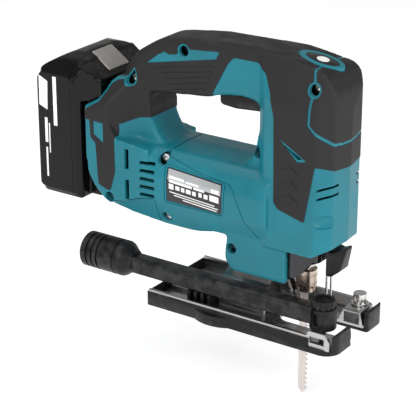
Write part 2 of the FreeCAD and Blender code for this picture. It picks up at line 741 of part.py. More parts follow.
plunger = span("plunger_rod", (rod_x - side, rod_x + side), (-side, side), (size("clamp_top"), 164))
node(plunger, "plunger")
yoke_solid = span("yoke_bar", (26.9, 31), (-20.5, 20.5), (gear_z - throw - 7, gear_z - throw + 7))
YOKE_SLOT = [(-17, 102.2, 3.7), (17, 102.2, 3.7), (17, 109.8, 3.7), (-17, 109.8, 3.7)]
yoke_slot = prism("yoke_slot", "YZ", YOKE_SLOT, 20, 30)
node(less("yoke", yoke_solid, yoke_slot), "crank_yoke")
clamp = joined(
    "clamp_solid",
    rod(
        "clamp_sleeve",
        "dims.clamp_radius",
        "dims.clamp_top - dims.clamp_bottom - 4",
        ("dims.plunger_place", 0, "dims.clamp_bottom + 4"),
    ),
    rod("clamp_collar", "dims.clamp_radius - 1.2", 4.5, ("dims.plunger_place", 0, "dims.clamp_bottom")),
)
clamp_slot = span("clamp_slot", (30.4, 39.4), (-0.7, 0.7), (20, 44))
node(less("clamp", clamp, clamp_slot), "blade_clamp")


def blade_outline():
    """Side view of the blade: tang, straight back, angled tip and a toothed front edge."""
    tip = size("blade_tip")
    pitch = 4.0
    points = [(31.0, 43), (31.0, tip + 4), (34.5, tip)]
    count = 16
    first = tip + 5
    for i in range(count):
        low = first + pitch * i
        points.append((38.5, low))
        points.append((36.6, low + 1.2))
    points.append((37.6, first + pitch * count + 1))
    points.append((37.6, 22))
    points.append((37.0, 43))
    return points


node(prism("blade_strip", "XZ", blade_outline(), "-dims.blade_thick / 2", "dims.blade_thick / 2"), "blade")

roller_end = ("dims.roller_place", -2.5, "dims.roller_height")
roller_blank = rod("roller_blank", "dims.roller_radius", 5, roller_end, "Y")
roller_groove = less(
    "roller_groove",
    rod("roller_groove_disc", 9, 1.6, ("dims.roller_place", -0.8, "dims.roller_height"), "Y"),
    rod(
        "roller_groove_core",
        "dims.roller_radius - 0.9",
        1.6,
        ("dims.roller_place", -0.8, "dims.roller_height"),
        "Y",
    ),
)
roller_bore = rod("roller_bore", 1.55, 8, ("dims.roller_place", -4, "dims.roller_height"), "Y")
node(less("roller_wheel", roller_blank, roller_groove, roller_bore), "blade_roller")
node(rod("roller_pin_rod", 1.5, 13, ("dims.roller_place", -6.5, "dims.roller_height"), "Y"), "roller_pin")
RETAINER = [
    (10, 65, 3), (18, 65, 3), (19.5, 52), (23, 34), (28, 22, 3), (27, 16, 3), (21, 16, 3),
    (16, 30), (10, 54),
]
retainer = prism("retainer_blank", "XZ", RETAINER, -6.3, 6.3)
retainer_gap = span("retainer_gap", (0, 40), (-3, 3), (10, 36))
retainer_window = span("retainer_window", (0, 40), (-3, 3), (44, 50))
retainer_pivot = rod("retainer_pivot", 2.06, 20, (14, -10, 60), "Y")
retainer_bore = rod("retainer_bore", 1.51, 20, ("dims.roller_place", -10, "dims.roller_height"), "Y")
retainer_cuts = [retainer_gap, retainer_window, retainer_pivot, retainer_bore]
node(less("retainer", retainer, *retainer_cuts), "roller_holder")
node(rod("retainer_pin_rod", 2.0, 28, (14, -14, 60), "Y"), "holder_pin")

# ---------------------------------------------------------------- tilt bearing under the leg

bearing = prism("bearing_block", "XZ", [(-20, 30), (12, 30), (12, 40.9), (-20, 40.9)], -13.4, 13.4)
bearing_round = rod("bearing_round", "dims.arch_radius + 0.12", 60, (-30, 0, "dims.tilt_height"), "X")
bearing_bolt = rod("bearing_bolt", 2.6, 30, ("dims.bolt_place", 0, 25))
bearing_top = span("bearing_top", (-30, 30), (-20, 20), (39.85, 50))
node(less("bearing", bearing, bearing_round, bearing_bolt, bearing_top), "bevel_bearing")
ARCH_INSIDE = "dims.arch_radius - dims.steel_thick"
plate_arc = less(
    "plate_arc",
    rod("plate_arc_outer", f"{ARCH_INSIDE} - 0.12", 22, (-17, 0, "dims.tilt_height"), "X"),
    rod("plate_arc_inner", f"{ARCH_INSIDE} - 3.2", 24, (-18, 0, "dims.tilt_height"), "X"),
    span("plate_arc_low", (-20, 20), (-40, 40), (-40, 26)),
    rod("plate_arc_hole", 2.6, 40, ("dims.bolt_place", 0, 10)),
)
node(plate_arc, "clamp_plate")
bolt_head = rod("tilt_bolt_head", 4.6, 6, ("dims.bolt_place", 0, 21.5))
bolt_socket = rod("tilt_bolt_socket", 2.2, 3.5, ("dims.bolt_place", 0, 21))
bolt_shank = rod("tilt_bolt_shank", 2.5, 24, ("dims.bolt_place", 0, 27))
node(
    less("tilt_bolt", joined("tilt_bolt_blank", bolt_head, bolt_shank), bolt_socket),
    "bevel_bolt",
)

# ---------------------------------------------------------------- guard, wire and tool opener

guard_plan = [(30, -20.5), (40, -20.5, 8), (52.5, -12, 9), (52.5, 12, 9), (40, 20.5, 8), (30, 20.5)]
guard_out = prism("guard_out", "XY", guard_plan, 40, 72)
GUARD_INSIDE = [
    (20, -18.9), (39.4, -18.9, 7), (50.9, -11.2, 8), (50.9, 11.2, 8), (39.4, 18.9, 7), (20, 18.9),
]
GUARD_SIDE = [(20, 43), (33, 42.5, 2), (44, 50, 4), (48, 56), (60, 58), (60, 80), (20, 80)]
guard_in = prism("guard_in", "XY", GUARD_INSIDE, 30, 80)
guard_side = prism("guard_side", "XZ", GUARD_SIDE, -30, 30)
node(less("guard_cut", common("guard", guard_out, guard_side), guard_in), "chip_guard")
wires = [rod(f"wire_{i}", 0.9, 60, (55, y, 15)) for i, y in enumerate((-3.3, 3.3))]
wire_foot = rod("wire_foot", 0.9, 6.6, (55, -3.3, 15), "Y")
wire_head = span("wire_head", (53.6, 56.4), (-6, 6), (74, 78))
node(joined("wire_guard", *wires, wire_foot), "guard_wire")
wire_seats = [rod(f"wire_seat_{i}", 0.91, 10, (55, y, 70)) for i, y in enumerate((-3.3, 3.3))]
node(less("wire_block", wire_head, *wire_seats), "wire_holder")
OPENER = [(57.4, 66.2), (57.4, 47.5, 2), (62, 48, 2), (67, 52, 3), (71.6, 70.9, 1), (63, 66.4)]
opener = prism("opener_blank", "XZ", OPENER, -9.5, 9.5)
OPENER_PLAN = [(50, -9.5), (60, -9.5), (72, -3.5, 3), (72, 3.5, 3), (60, 9.5), (50, 9.5)]
opener_plan = prism("opener_plan", "XY", OPENER_PLAN, 40, 80)
node(common("opener", opener, opener_plan), "tool_opener")

# ---------------------------------------------------------------- switch, trigger and lock button

TRIGGER = [(-36, 160.5, 3), (-20, 159.6), (3, 161.5, 2), (3, 172), (-36, 172)]
trigger = prism("trigger_blade", "XZ", TRIGGER, -8.3, 8.3)
trigger_stem = span("trigger_stem", (-4.4, -1.8), (-3, 3), (170, 176))
node(joined("trigger_solid", trigger, trigger_stem), "trigger")
switch = span("switch_box", (-36, -1), (-8, 8), (182, 199))
switch_slot = span("switch_slot", (-8.6, -1.4), (-3.6, 3.6), (175, 190))
switch_side = span("switch_side", (-17, -1), (2, 30), (178, 190))
node(less("switch", switch, switch_slot, switch_side), "switch_body")
spring_path = doc.addObject("Part::Helix", "spring_path")
bind(spring_path, "Pitch", 2.4)
bind(spring_path, "Height", 9.2)
bind(spring_path, "Radius", 2.4)
put(spring_path, (-26, 0, 172.4))
spring_wire = doc.addObject("Part::Circle", "spring_wire")
spring_wire.Placement = Placement(Vector(-23.6, 0, 172.4), Rotation(Vector(1, 0, 0), 90))
bind(spring_wire, "Radius", 0.35)
spring = doc.addObject("Part::Sweep", "spring")
spring.Sections = [spring_wire]
spring.Spine = (spring_path, [])
spring.Solid = True
spring.Frenet = True
node(spring, "trigger_spring")
node(rod("lock_cap", 5, 15, (-10, 6.5, 184), "Y"), "lock_button")
node(
    joined(
        "orbit_solid",
        rod("orbit_shaft", 5, 16, (-3, 10, 56), "Y"),
        rod("orbit_disc", 9, 3, (-3, 25.6, 56), "Y"),
        prism("orbit_tab", "XZ", [(-5, 58, 1), (-5, 41, 1.8), (-1, 41, 1.8), (-1, 58, 1)], 25.6, 31),
    ),
    "orbital_lever",
)
node(span("controller_box", (-112, -84), (-20, 20), (86, 98)), "motor_controller")

# ---------------------------------------------------------------- battery seat and battery

block = span("block", (-127.5, -117.5), (-15.5, 15.5), (92, 116))
blades_out = []
for i, y in enumerate((-12, 12)):
    blades_out.append(span(f"blade_out_{i}", (-137, -127.5), (y - 0.5, y + 0.5), (96, 112)))
node(joined("terminals_tool", block, *blades_out), "terminal_block")

pack_back = size("pack_back")
pack_front = size("pack_front")
pack_half = size("pack_half")
split = size("pack_split")
PACK = [
    (pack_back, 71, 7), (pack_back, 171, 12), (-158, 186, 10), (-150, 184), (pack_front, 180),
    (pack_front, 71),
]
FRONT = [(-146, 71.5), (-128.2, 78, 4), (-128.2, 167), (-135, 172), (-144, 178.2), (-146, 179.6)]
pack_main = prism("pack_main", "XZ", PACK, "-dims.pack_half", "dims.pack_half")
pack_plan = prism(
    "pack_plan",
    "XY",
    [
        (pack_back, -pack_half, 7),
        (pack_front, -pack_half, 2),
        (pack_front, pack_half, 2),
        (pack_back, pack_half, 7),
    ],
    60,
    200,
)
front_form = prism("front_form", "XZ", FRONT, -40, 40)
rail_neck = span("rail_neck", (-146, -133.4), (-26.4, 26.4), (60, 200))
rail_head = span("rail_head", (-133.4, -128.2), (-29.9, 29.9), (60, 200))
pack_block = common("pack_block", pack_main, pack_plan)
pack_rail = common("pack_rail", front_form, joined("rails", rail_neck, rail_head))
pack_form = joined("pack_form", pack_block, pack_rail)
pack_hollow = span("pack_hollow", (pack_back + 2.3, pack_front - 1.8), (-35.2, 35.2), (73.5, 169))
rail_hollow = span("rail_hollow", (-147, -131), (-23.5, 23.5), (84, 156))
contact_slots = []
for i, y in enumerate((-12, 12)):
    contact_slots.append(span(f"contact_slot_{i}", (-140, -120), (y - 1.3, y + 1.3), (60, 116)))
slope = math.degrees(math.atan2(12.0, 17.5))
button_place = Placement(Vector(-150, -12.5, 182.6), Rotation(Vector(0, 1, 0), slope))


def sloped(name, low, extent):
    """A block on the sloped top of the battery, measured from the slope's upper edge."""
    solid = doc.addObject("Part::Box", name)
    for prop, value in zip(("Length", "Width", "Height"), extent):
        bind(solid, prop, value)
    solid.Placement = button_place.multiply(Placement(Vector(*low), Rotation()))
    return solid


button_pocket = sloped("button_pocket", (-0.4, -0.4, -8), (22, 25.8, 30))
pack_shell = less("pack_shell", pack_form, pack_hollow, rail_hollow, *contact_slots, button_pocket)
tub_side = span("tub_side", (-220, split), (-60, 60), (40, 220))
cover_side = span("cover_side", (split, -100), (-60, 60), (40, 220))
node(common("tub_piece", pack_shell, tub_side), "battery_tub")
node(common("lid_piece", pack_shell, cover_side), "battery_cover")
node(sloped("button_solid", (0, 0, -4.4), (21, 25, 5)), "battery_button")
cells = []
for i in range(5):
    for j, x in enumerate((-173.2, -155.0)):
        cell_end = (x, "-dims.cell_length / 2", 83.2 + 18.4 * i)
        cells.append(rod(f"cell_{i}_{j}", "dims.cell_radius", "dims.cell_length", cell_end, "Y"))
node(joined("cells", *cells), "battery_cells")
node(span("pack_board", (-142, -140.4), (-21, 21), (90, 150)), "battery_board")
clips = []
for i, y in enumerate((-12, 12)):
    clips.append(span(f"clip_a_{i}", (-139.8, -132), (y - 1.2, y - 0.55), (98, 110)))
    clips.append(span(f"clip_b_{i}", (-139.8, -132), (y + 0.55, y + 1.2), (98, 110)))
    clips.append(span(f"clip_base_{i}", (-140.4, -139.8), (y - 1.2, y + 1.2), (98, 110)))
node(joined("pack_clips", *clips), "battery_contacts")

# ---------------------------------------------------------------- check and write

doc.recompute()
for thing in doc.Objects:
    if "Invalid" in thing.State or "Error" in thing.State:
        raise SystemExit(f"{thing.Name} is {thing.State}")
os.makedirs("parts", exist_ok=True)
for piece in nodes:
    shape = piece.Shape
    if shape.isNull() or not shape.isValid() or not shape.Solids:
        raise SystemExit(f"{piece.Label} has no valid solid")
    shape.exportStep(f"parts/{piece.Label}.step")
    print(f"{piece.Label:18s} {len(shape.Solids):2d} solids {shape.Volume:10.0f} mm3")
print(len(nodes), "sub-parts")
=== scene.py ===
# %% [markdown]
# # A cordless jigsaw, finished piece by piece
#
# The engineering model of this saw is already made: every housing half, screw, gear and blade
# has its real size and place. This lesson gives those pieces their looks. Large moulded parts are
# modelled again with soft edges, seams and rubber grips, and the rest get better surfaces.
# The first cell loads the fixed frame, whose places must not change.

# %% Load the frame
import json
import math

import bpy
from mathutils import Matrix, Vector

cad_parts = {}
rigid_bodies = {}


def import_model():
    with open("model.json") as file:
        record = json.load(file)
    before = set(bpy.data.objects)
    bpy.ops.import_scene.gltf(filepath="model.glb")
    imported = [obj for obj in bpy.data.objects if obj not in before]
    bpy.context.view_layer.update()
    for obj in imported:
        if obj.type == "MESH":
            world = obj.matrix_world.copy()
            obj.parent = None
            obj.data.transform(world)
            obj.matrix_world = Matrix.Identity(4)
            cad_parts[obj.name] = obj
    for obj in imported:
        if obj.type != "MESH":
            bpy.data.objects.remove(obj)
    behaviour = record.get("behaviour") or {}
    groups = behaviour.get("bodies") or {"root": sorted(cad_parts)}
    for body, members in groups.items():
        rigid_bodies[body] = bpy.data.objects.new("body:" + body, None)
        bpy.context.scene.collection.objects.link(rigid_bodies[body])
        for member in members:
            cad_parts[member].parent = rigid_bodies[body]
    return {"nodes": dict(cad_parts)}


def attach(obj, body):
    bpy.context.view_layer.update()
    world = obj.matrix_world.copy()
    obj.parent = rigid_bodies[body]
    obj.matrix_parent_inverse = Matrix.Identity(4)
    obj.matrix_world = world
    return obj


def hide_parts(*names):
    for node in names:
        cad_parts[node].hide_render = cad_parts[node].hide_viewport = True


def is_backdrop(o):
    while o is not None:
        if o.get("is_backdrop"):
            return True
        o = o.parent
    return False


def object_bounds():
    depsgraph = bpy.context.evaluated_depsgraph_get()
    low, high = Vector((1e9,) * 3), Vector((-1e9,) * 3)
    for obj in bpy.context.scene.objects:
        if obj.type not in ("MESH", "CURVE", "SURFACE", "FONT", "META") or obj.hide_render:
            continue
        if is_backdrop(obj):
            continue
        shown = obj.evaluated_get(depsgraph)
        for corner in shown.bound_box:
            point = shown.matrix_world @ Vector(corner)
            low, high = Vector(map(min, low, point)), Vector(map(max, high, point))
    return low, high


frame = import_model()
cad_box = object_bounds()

MM = 0.001
nodes = frame["nodes"]
slot_of = {label: obj.data.materials[0].name for label, obj in nodes.items()}
print("overall size in mm:", [round((b - a) / MM) for a, b in zip(*cad_box)])

# %% [markdown]
# ## A few tools for the hands
#
# An operator in Blender works on whatever is selected, so each step begins by choosing one
# object and nothing else. These small helpers do that, enter and leave edit mode, and add a
# modifier and apply it at once, as a modeller would by hand.

# %% Select, edit and apply
def only(obj):
    """Select one object and nothing else."""
    bpy.ops.object.select_all(action="DESELECT")
    obj.select_set(True)
    bpy.context.view_layer.objects.active = obj
    return obj


def edit(obj, kind="FACE"):
    """Enter edit mode with all of the mesh selected."""
    only(obj)
    bpy.ops.object.mode_set(mode="EDIT")
    bpy.ops.mesh.select_mode(type=kind)
    bpy.ops.mesh.select_all(action="SELECT")


def leave():
    bpy.ops.object.mode_set(mode="OBJECT")


def apply(obj, kind, **values):
    """Add a modifier with these values and apply it."""
    only(obj)
    bpy.ops.object.modifier_add(type=kind)
    modifier = obj.modifiers[-1]
    for key, value in values.items():
        setattr(modifier, key, value)
    bpy.ops.object.modifier_apply(modifier=modifier.name)
    return obj


def duplicate(obj, name):
    """A second object with its own mesh."""
    only(obj)
    bpy.ops.object.duplicate()
    twin = bpy.context.object
    twin.name = name
    return twin


def joined(name, *parts):
    """Join several meshes into one object."""
    bpy.ops.object.select_all(action="DESELECT")
    for part in parts:
        part.select_set(True)
    bpy.context.view_layer.objects.active = parts[0]
    if len(parts) > 1:
        bpy.ops.object.join()
    parts[0].name = name
    return parts[0]


def mixed(obj, other, way):
    """Cut away or keep the overlap with another closed shape, which is then thrown away."""
    before = len(obj.data.polygons)
    apply(obj, "BOOLEAN", operation=way, object=other, solver="MANIFOLD")
    if not len(obj.data.polygons):
        raise SystemExit(f"{obj.name} vanished when mixed with {other.name}, from {before} faces")
    bpy.data.objects.remove(other)
    return obj


def cut(obj, other):
    return mixed(obj, other, "DIFFERENCE")


def kept(obj, other):
    return mixed(obj, other, "INTERSECT")


# %% [markdown]
# ## Outlines that become slabs
#
# Most moulded parts start as a side view, a plan or a front view. A corner may carry a radius,
# and a short curve replaces it. The slab helper walks one vertex round the outline by extruding
# it from corner to corner, fills the loop, and extrudes the face to its thickness. It is
# slower than a ready-made cube, yet any outline can be drawn that way.

# %% Draw an outline and give it thickness
PLACE = {
    "side": lambda u, v, d: Vector((u, d, v)),
    "plan": lambda u, v, d: Vector((u, v, d)),
    "front": lambda u, v, d: Vector((d, u, v)),
}


def rounded(points, steps=4):
    """The outline with each (u, v, radius) corner replaced by a short curve."""
    path = []
    for i, corner in enumerate(points):
        here = Vector(corner[:2])
        radius = corner[2] if len(corner) > 2 else 0
        if not radius:
            path.append(here)
            continue
        back = Vector(points[i - 1][:2]) - here
        ahead = Vector(points[(i + 1) % len(points)][:2]) - here
        reach = radius / math.tan(back.angle(ahead) / 2)
        start = here + back.normalized() * min(reach, 0.48 * back.length)
        end = here + ahead.normalized() * min(reach, 0.48 * ahead.length)
        for k in range(steps + 1):
            t = k / steps
            path.append(start * (1 - t) ** 2 + here * (2 * t * (1 - t)) + end * t * t)
    return path


def slab(name, points, low, high, plane="side", steps=4):
    """A closed solid from an outline in millimetres, between two depths."""
    path = [PLACE[plane](p.x, p.y, low) * MM for p in rounded(points, steps)]
    bpy.ops.object.select_all(action="DESELECT")
    bpy.ops.mesh.primitive_plane_add(size=MM, location=path[0])
    obj = bpy.context.object
    obj.name = name
    edit(obj, "VERT")
    bpy.ops.mesh.merge(type="CENTER")
    for here, there in zip(path, path[1:]):
        bpy.ops.mesh.extrude_region_move(TRANSFORM_OT_translate={"value": there - here})
    bpy.ops.mesh.select_all(action="SELECT")
    bpy.ops.mesh.edge_face_add()
    bpy.ops.mesh.select_mode(type="FACE")
    bpy.ops.mesh.select_all(action="SELECT")
    depth = PLACE[plane](0, 0, high - low) * MM
    bpy.ops.mesh.extrude_region_move(TRANSFORM_OT_translate={"value": depth})
    bpy.ops.mesh.select_all(action="SELECT")
    bpy.ops.mesh.normals_make_consistent(inside=False)
    leave()
    bpy.ops.object.transform_apply(location=True, rotation=True, scale=True)
    return obj


def block(name, x, y, z):
    """A rectangular cutter or bar from its three extents."""
    return slab(name, [(x[0], z[0]), (x[1], z[0]), (x[1], z[1]), (x[0], z[1])], *y)


def ring_points(u, v, radius, count=20, squash=1.0):
    """Points of a circle or an oval round (u, v)."""
    turn = [2 * math.pi * k / count for k in range(count)]
    return [(u + radius * math.cos(a), v + radius * squash * math.sin(a)) for a in turn]


def drop_points(u, v, radius, tip, count=16):
    """A teardrop round (u, v) whose point lies at an offset from it."""
    heading = math.atan2(tip[1], tip[0])
    points = [(u + tip[0], v + tip[1], 0.8)]
    for k in range(count + 1):
        a = heading + math.radians(60 + 240 * k / count)
        points.append((u + radius * math.cos(a), v + radius * math.sin(a)))
    return points


def ribbon(points, width):
    """The outline of a band of even width along an open line."""
    line = [Vector(p) for p in points]
    sides = ([], [])
    for i, here in enumerate(line):
        ahead = (line[min(i + 1, len(line) - 1)] - here).normalized()
        back = (here - line[max(i - 1, 0)]).normalized()
        way = (ahead + back).normalized()
        across = Vector((-way.y, way.x)) * width / 2
        sides[0].append(here + across)
        sides[1].append(here - across)
    return [tuple(p) for p in sides[0] + sides[1][::-1]]


# %% [markdown]
# ## Softening shapes
#
# Injection-moulded plastic has no sharp edge. For a big form, a voxel remesh makes one even
# skin over all the overlapping blocks, and a smooth modifier rounds it, like sanding clay.
# For a small hard part, a bevel on the sharp edges is enough. The last helper hands a
# piece over: it rides on its body, stands for its engineering node and gets its finish.

# %% Sand, bevel and hand over
def sanded(obj, voxel, rounds):
    """One even skin over overlapping shapes, smoothed a number of times."""
    apply(obj, "REMESH", mode="VOXEL", voxel_size=voxel * MM)
    return apply(obj, "SMOOTH", factor=0.5, iterations=rounds)


def grown(obj, name, by):
    """A copy of a form whose surface has moved outwards, or inwards if by is negative."""
    return apply(duplicate(obj, name), "DISPLACE", strength=by * MM, mid_level=0)


def bevelled(obj, width, segments=3, angle=40):
    return apply(
        obj, "BEVEL", width=width * MM, segments=segments, limit_method="ANGLE",
        angle_limit=math.radians(angle), use_clamp_overlap=True, harden_normals=False,
    )


finishes = {}


def hand_over(obj, body, slot, *stands_for, smooth=32):
    """Smooth the shading, and tie the piece to its body, its nodes and its finish."""
    only(obj)
    bpy.ops.object.shade_smooth_by_angle(angle=math.radians(smooth))
    obj.data.materials.clear()
    obj.data.materials.append(finishes[slot])
    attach(obj, body)
    if stands_for:
        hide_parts(*stands_for)
    print(f"{obj.name}: {len(obj.data.polygons)} faces")
    return obj


def softened(label, width, body, slot=None, segments=2, angle=35):
    """A bevelled copy of an engineering node whose shape is already right."""
    obj = duplicate(nodes[label], label + "_finished")
    obj.parent = None
    for key in list(obj.keys()):
        del obj[key]
    edit(obj, "VERT")
    bpy.ops.mesh.remove_doubles(threshold=0.01 * MM)
    bpy.ops.mesh.dissolve_limited(angle_limit=math.radians(1))
    leave()
    bevelled(obj, width, segments, angle)
    return hand_over(obj, body, slot or slot_of[label], label)


# %% [markdown]
# ## Surface effects shared by many finishes
#
# Real plastic has a fine spark-eroded grain, edges that hands have polished, and a little
# dust on what faces up. Each of these is a node group, built once, that puts out a value
# over the surface. The material decides what that value does to its colour or gloss.

# %% Node groups
def group_of(name, inputs, outputs):
    """An empty node group with named number sockets."""
    group = bpy.data.node_groups.new(name, "ShaderNodeTree")
    for label, value in inputs:
        group.interface.new_socket(
            name=label, in_out="INPUT", socket_type="NodeSocketFloat"
        ).default_value = value
    for label in outputs:
        group.interface.new_socket(name=label, in_out="OUTPUT", socket_type="NodeSocketFloat")
    return group, group.nodes.new("NodeGroupInput"), group.nodes.new("NodeGroupOutput")


def noise_in(tree, scale, detail=3.0):
    """A noise texture on object coordinates."""
    where = tree.nodes.new("ShaderNodeTexCoord")
    noise = tree.nodes.new("ShaderNodeTexNoise")
    noise.inputs["Detail"].default_value = detail
    tree.links.new(where.outputs["Object"], noise.inputs["Vector"])
    if isinstance(scale, (int, float)):
        noise.inputs["Scale"].default_value = scale
    else:
        tree.links.new(scale, noise.inputs["Scale"])
    return noise.outputs["Fac"]


def ranged(tree, value, low, high, to_low=0.0, to_high=1.0):
    """Spread a value from one range to another, clamped at both ends."""
    node = tree.nodes.new("ShaderNodeMapRange")
    keys = ("Value", "From Min", "From Max", "To Min", "To Max")
    for key, item in zip(keys, (value, low, high, to_low, to_high)):
        if isinstance(item, (int, float)):
            node.inputs[key].default_value = item
        else:
            tree.links.new(item, node.inputs[key])
    return node.outputs["Result"]


def product(tree, a, b):
    node = tree.nodes.new("ShaderNodeMath")
    node.operation = "MULTIPLY"
    for i, item in enumerate((a, b)):
        if isinstance(item, (int, float)):
            node.inputs[i].default_value = item
        else:
            tree.links.new(item, node.inputs[i])
    return node.outputs[0]


grain, start, end = group_of("Moulded_Grain", [("Scale", 900), ("Patch Scale", 25)], ["Height", "Patches"])
grain.links.new(noise_in(grain, start.outputs["Scale"], 4), end.inputs["Height"])
patches = ranged(grain, noise_in(grain, start.outputs["Patch Scale"], 2), 0.35, 0.65)
grain.links.new(patches, end.inputs["Patches"])

wear, start, end = group_of("Edge_Wear", [("From", 0.52), ("To", 0.60), ("Breakup", 160)], ["Mask"])
shape = wear.nodes.new("ShaderNodeNewGeometry")
ridge = ranged(wear, shape.outputs["Pointiness"], start.outputs["From"], start.outputs["To"])
broken = ranged(wear, noise_in(wear, start.outputs["Breakup"]), 0.4, 0.62)
wear.links.new(product(wear, ridge, broken), end.inputs["Mask"])

dust, start, end = group_of("Settled_Dust", [("Scale", 70), ("Amount", 0.2)], ["Mask"])
shape = dust.nodes.new("ShaderNodeNewGeometry")
upward = dust.nodes.new("ShaderNodeSeparateXYZ")
dust.links.new(shape.outputs["Normal"], upward.inputs[0])
level = ranged(dust, upward.outputs["Z"], 0.55, 1.0)
speckle = ranged(dust, noise_in(dust, start.outputs["Scale"], 5), 0.45, 0.75)
layer = product(dust, level, speckle)
dust.links.new(product(dust, layer, start.outputs["Amount"]), end.inputs["Mask"])
print("groups:", [g.name for g in bpy.data.node_groups])

# %% [markdown]
# ## The finishes
#
# One recipe serves every opaque finish: a base colour that varies in soft patches, a
# second colour on worn edges, a third for dust, a gloss that follows the patches, and a bump
# from the grain. Metals add long streaks, because rolled and brushed steel reflects in lines.

# %% A recipe for opaque finishes
DEEP, PALE = 0.9, 1.08
DUST_COLOUR = (0.42, 0.40, 0.37)
COAT_ROUGH = 0.12
GRAIN_HEIGHT = 0.1


def placed(tree, group, **values):
    node = tree.nodes.new("ShaderNodeGroup")
    node.node_tree = group
    for key, value in values.items():
        node.inputs[key.replace("_", " ")].default_value = value
    return node


def blended(tree, share, first, second):
    """Mix two colours by a share that varies over the surface."""
    node = tree.nodes.new("ShaderNodeMix")
    node.data_type = "RGBA"
    tree.links.new(share, node.inputs[0])
    for i, item in ((6, first), (7, second)):
        if isinstance(item, tuple):
            node.inputs[i].default_value = (*item, 1.0)
        else:
            tree.links.new(item, node.inputs[i])
    return node.outputs[2]


def shaded(colour, share):
    return tuple(min(1.0, c * share) for c in colour)


def finish(
    name, colour, rough, worn=None, metal=0.0, coat=0.0, scale=900, depth=0.2, dusty=0.1,
    streaks=None, spread=0.06,
):
    """Make one opaque material and remember it by its slot name."""
    material = bpy.data.materials.new(name)
    material.use_nodes = True
    tree = material.node_tree
    surface = tree.nodes["Principled BSDF"]
    surface.inputs["Metallic"].default_value = metal
    surface.inputs["Coat Weight"].default_value = coat
    surface.inputs["Coat Roughness"].default_value = COAT_ROUGH
    texture = placed(tree, grain, Scale=scale)
    patches = texture.outputs["Patches"]
    if streaks:
        where = tree.nodes.new("ShaderNodeTexCoord")
        stretch = tree.nodes.new("ShaderNodeMapping")
        stretch.inputs["Scale"].default_value = streaks
        lines = tree.nodes.new("ShaderNodeTexNoise")
        lines.inputs["Scale"].default_value = 1.0
        lines.inputs["Detail"].default_value = 6.0
        tree.links.new(where.outputs["Object"], stretch.inputs["Vector"])
        tree.links.new(stretch.outputs["Vector"], lines.inputs["Vector"])
        patches = ranged(tree, lines.outputs["Fac"], 0.3, 0.7)
    base = blended(tree, patches, shaded(colour, DEEP), shaded(colour, PALE))
    if worn:
        rubbed = placed(tree, wear)
        base = blended(tree, rubbed.outputs["Mask"], base, worn)
    if dusty:
        settled = placed(tree, dust, Amount=dusty)
        base = blended(tree, settled.outputs["Mask"], base, DUST_COLOUR)
    tree.links.new(base, surface.inputs["Base Color"])
    gloss = ranged(tree, patches, 0.0, 1.0, max(0.02, rough - spread), min(1.0, rough + spread))
    tree.links.new(gloss, surface.inputs["Roughness"])
    bump = tree.nodes.new("ShaderNodeBump")
    bump.inputs["Strength"].default_value = depth
    bump.inputs["Distance"].default_value = GRAIN_HEIGHT * MM
    tree.links.new(texture.outputs["Height"], bump.inputs["Height"])
    tree.links.new(bump.outputs["Normal"], surface.inputs["Normal"])
    finishes[name] = material
    return material


# %% The plastics and the rubber
TEAL = (0.004, 0.150, 0.195)
RUBBER = (0.011, 0.0105, 0.0115)
PLASTIC = (0.0055, 0.0055, 0.006)
GLOSS = (0.0025, 0.0025, 0.0028)
finish("teal_plastic", TEAL, 0.40, worn=(0.03, 0.24, 0.30), scale=1500, depth=0.25, dusty=0.05)
finish("black_rubber", RUBBER, 0.60, worn=(0.03, 0.03, 0.031), scale=1100, depth=0.5, dusty=0.08)
finish("black_plastic", PLASTIC, 0.40, worn=(0.035, 0.035, 0.037), scale=1300, depth=0.3, dusty=0.08)
finish("gloss_black", GLOSS, 0.20, worn=(0.02, 0.02, 0.022), coat=0.08, scale=1500, depth=0.08)
finish("button_grey", (0.30, 0.285, 0.265), 0.42, worn=(0.5, 0.48, 0.45), metal=0.35, scale=1600, depth=0.2)
finish("lens_dark", (0.004, 0.004, 0.005), 0.06, coat=1.0, scale=400, depth=0.03, dusty=0.0)
print(sorted(finishes))

# %% The metals and what is inside
ALONG_X = (25, 900, 900)
ALONG_Z = (900, 900, 40)
finish("bright_steel", (0.58, 0.57, 0.56), 0.24, metal=1.0, scale=700, depth=0.08, streaks=(300, 300, 300))
STEEL_GREY = (0.42, 0.415, 0.41)
finish("grey_steel", STEEL_GREY, 0.30, metal=1.0, scale=900, depth=0.12, streaks=ALONG_X, spread=0.1)
finish("cast_alloy", (0.45, 0.45, 0.44), 0.52, metal=0.9, scale=600, depth=0.6, spread=0.1)
finish("clamp_steel", (0.60, 0.50, 0.42), 0.28, metal=1.0, scale=900, depth=0.1, streaks=ALONG_Z)
BLADE_GREY = (0.66, 0.60, 0.575)
finish("blade_steel", BLADE_GREY, 0.46, metal=0.55, scale=800, depth=0.15, streaks=ALONG_Z, dusty=0.0)
finish("brass_contact", (0.62, 0.42, 0.16), 0.32, metal=1.0, scale=900, depth=0.1)
WINDINGS = (30, 2500, 2500)
finish("copper_winding", (0.55, 0.22, 0.08), 0.35, metal=0.9, scale=900, depth=0.3, streaks=WINDINGS)
finish("cell_wrap", (0.05, 0.16, 0.30), 0.35, scale=900, depth=0.05)
finish("circuit_board", (0.01, 0.12, 0.05), 0.40, scale=350, depth=0.1)
print(len(finishes), "finishes")

# %% [markdown]
# Dark mouldings would look grey under a bright floor. A lower specular level keeps them deep,
# while the roughness still gives them their soft highlights.

# %% Deepen the dark mouldings
SHEEN = {"gloss_black": 0.16, "black_plastic": 0.22, "black_rubber": 0.3, "teal_plastic": 0.3}
for label, level in SHEEN.items():
    surface = finishes[label].node_tree.nodes["Principled BSDF"]
    surface.inputs["Specular IOR Level"].default_value = level
print("specular levels set on", len(SHEEN), "finishes")


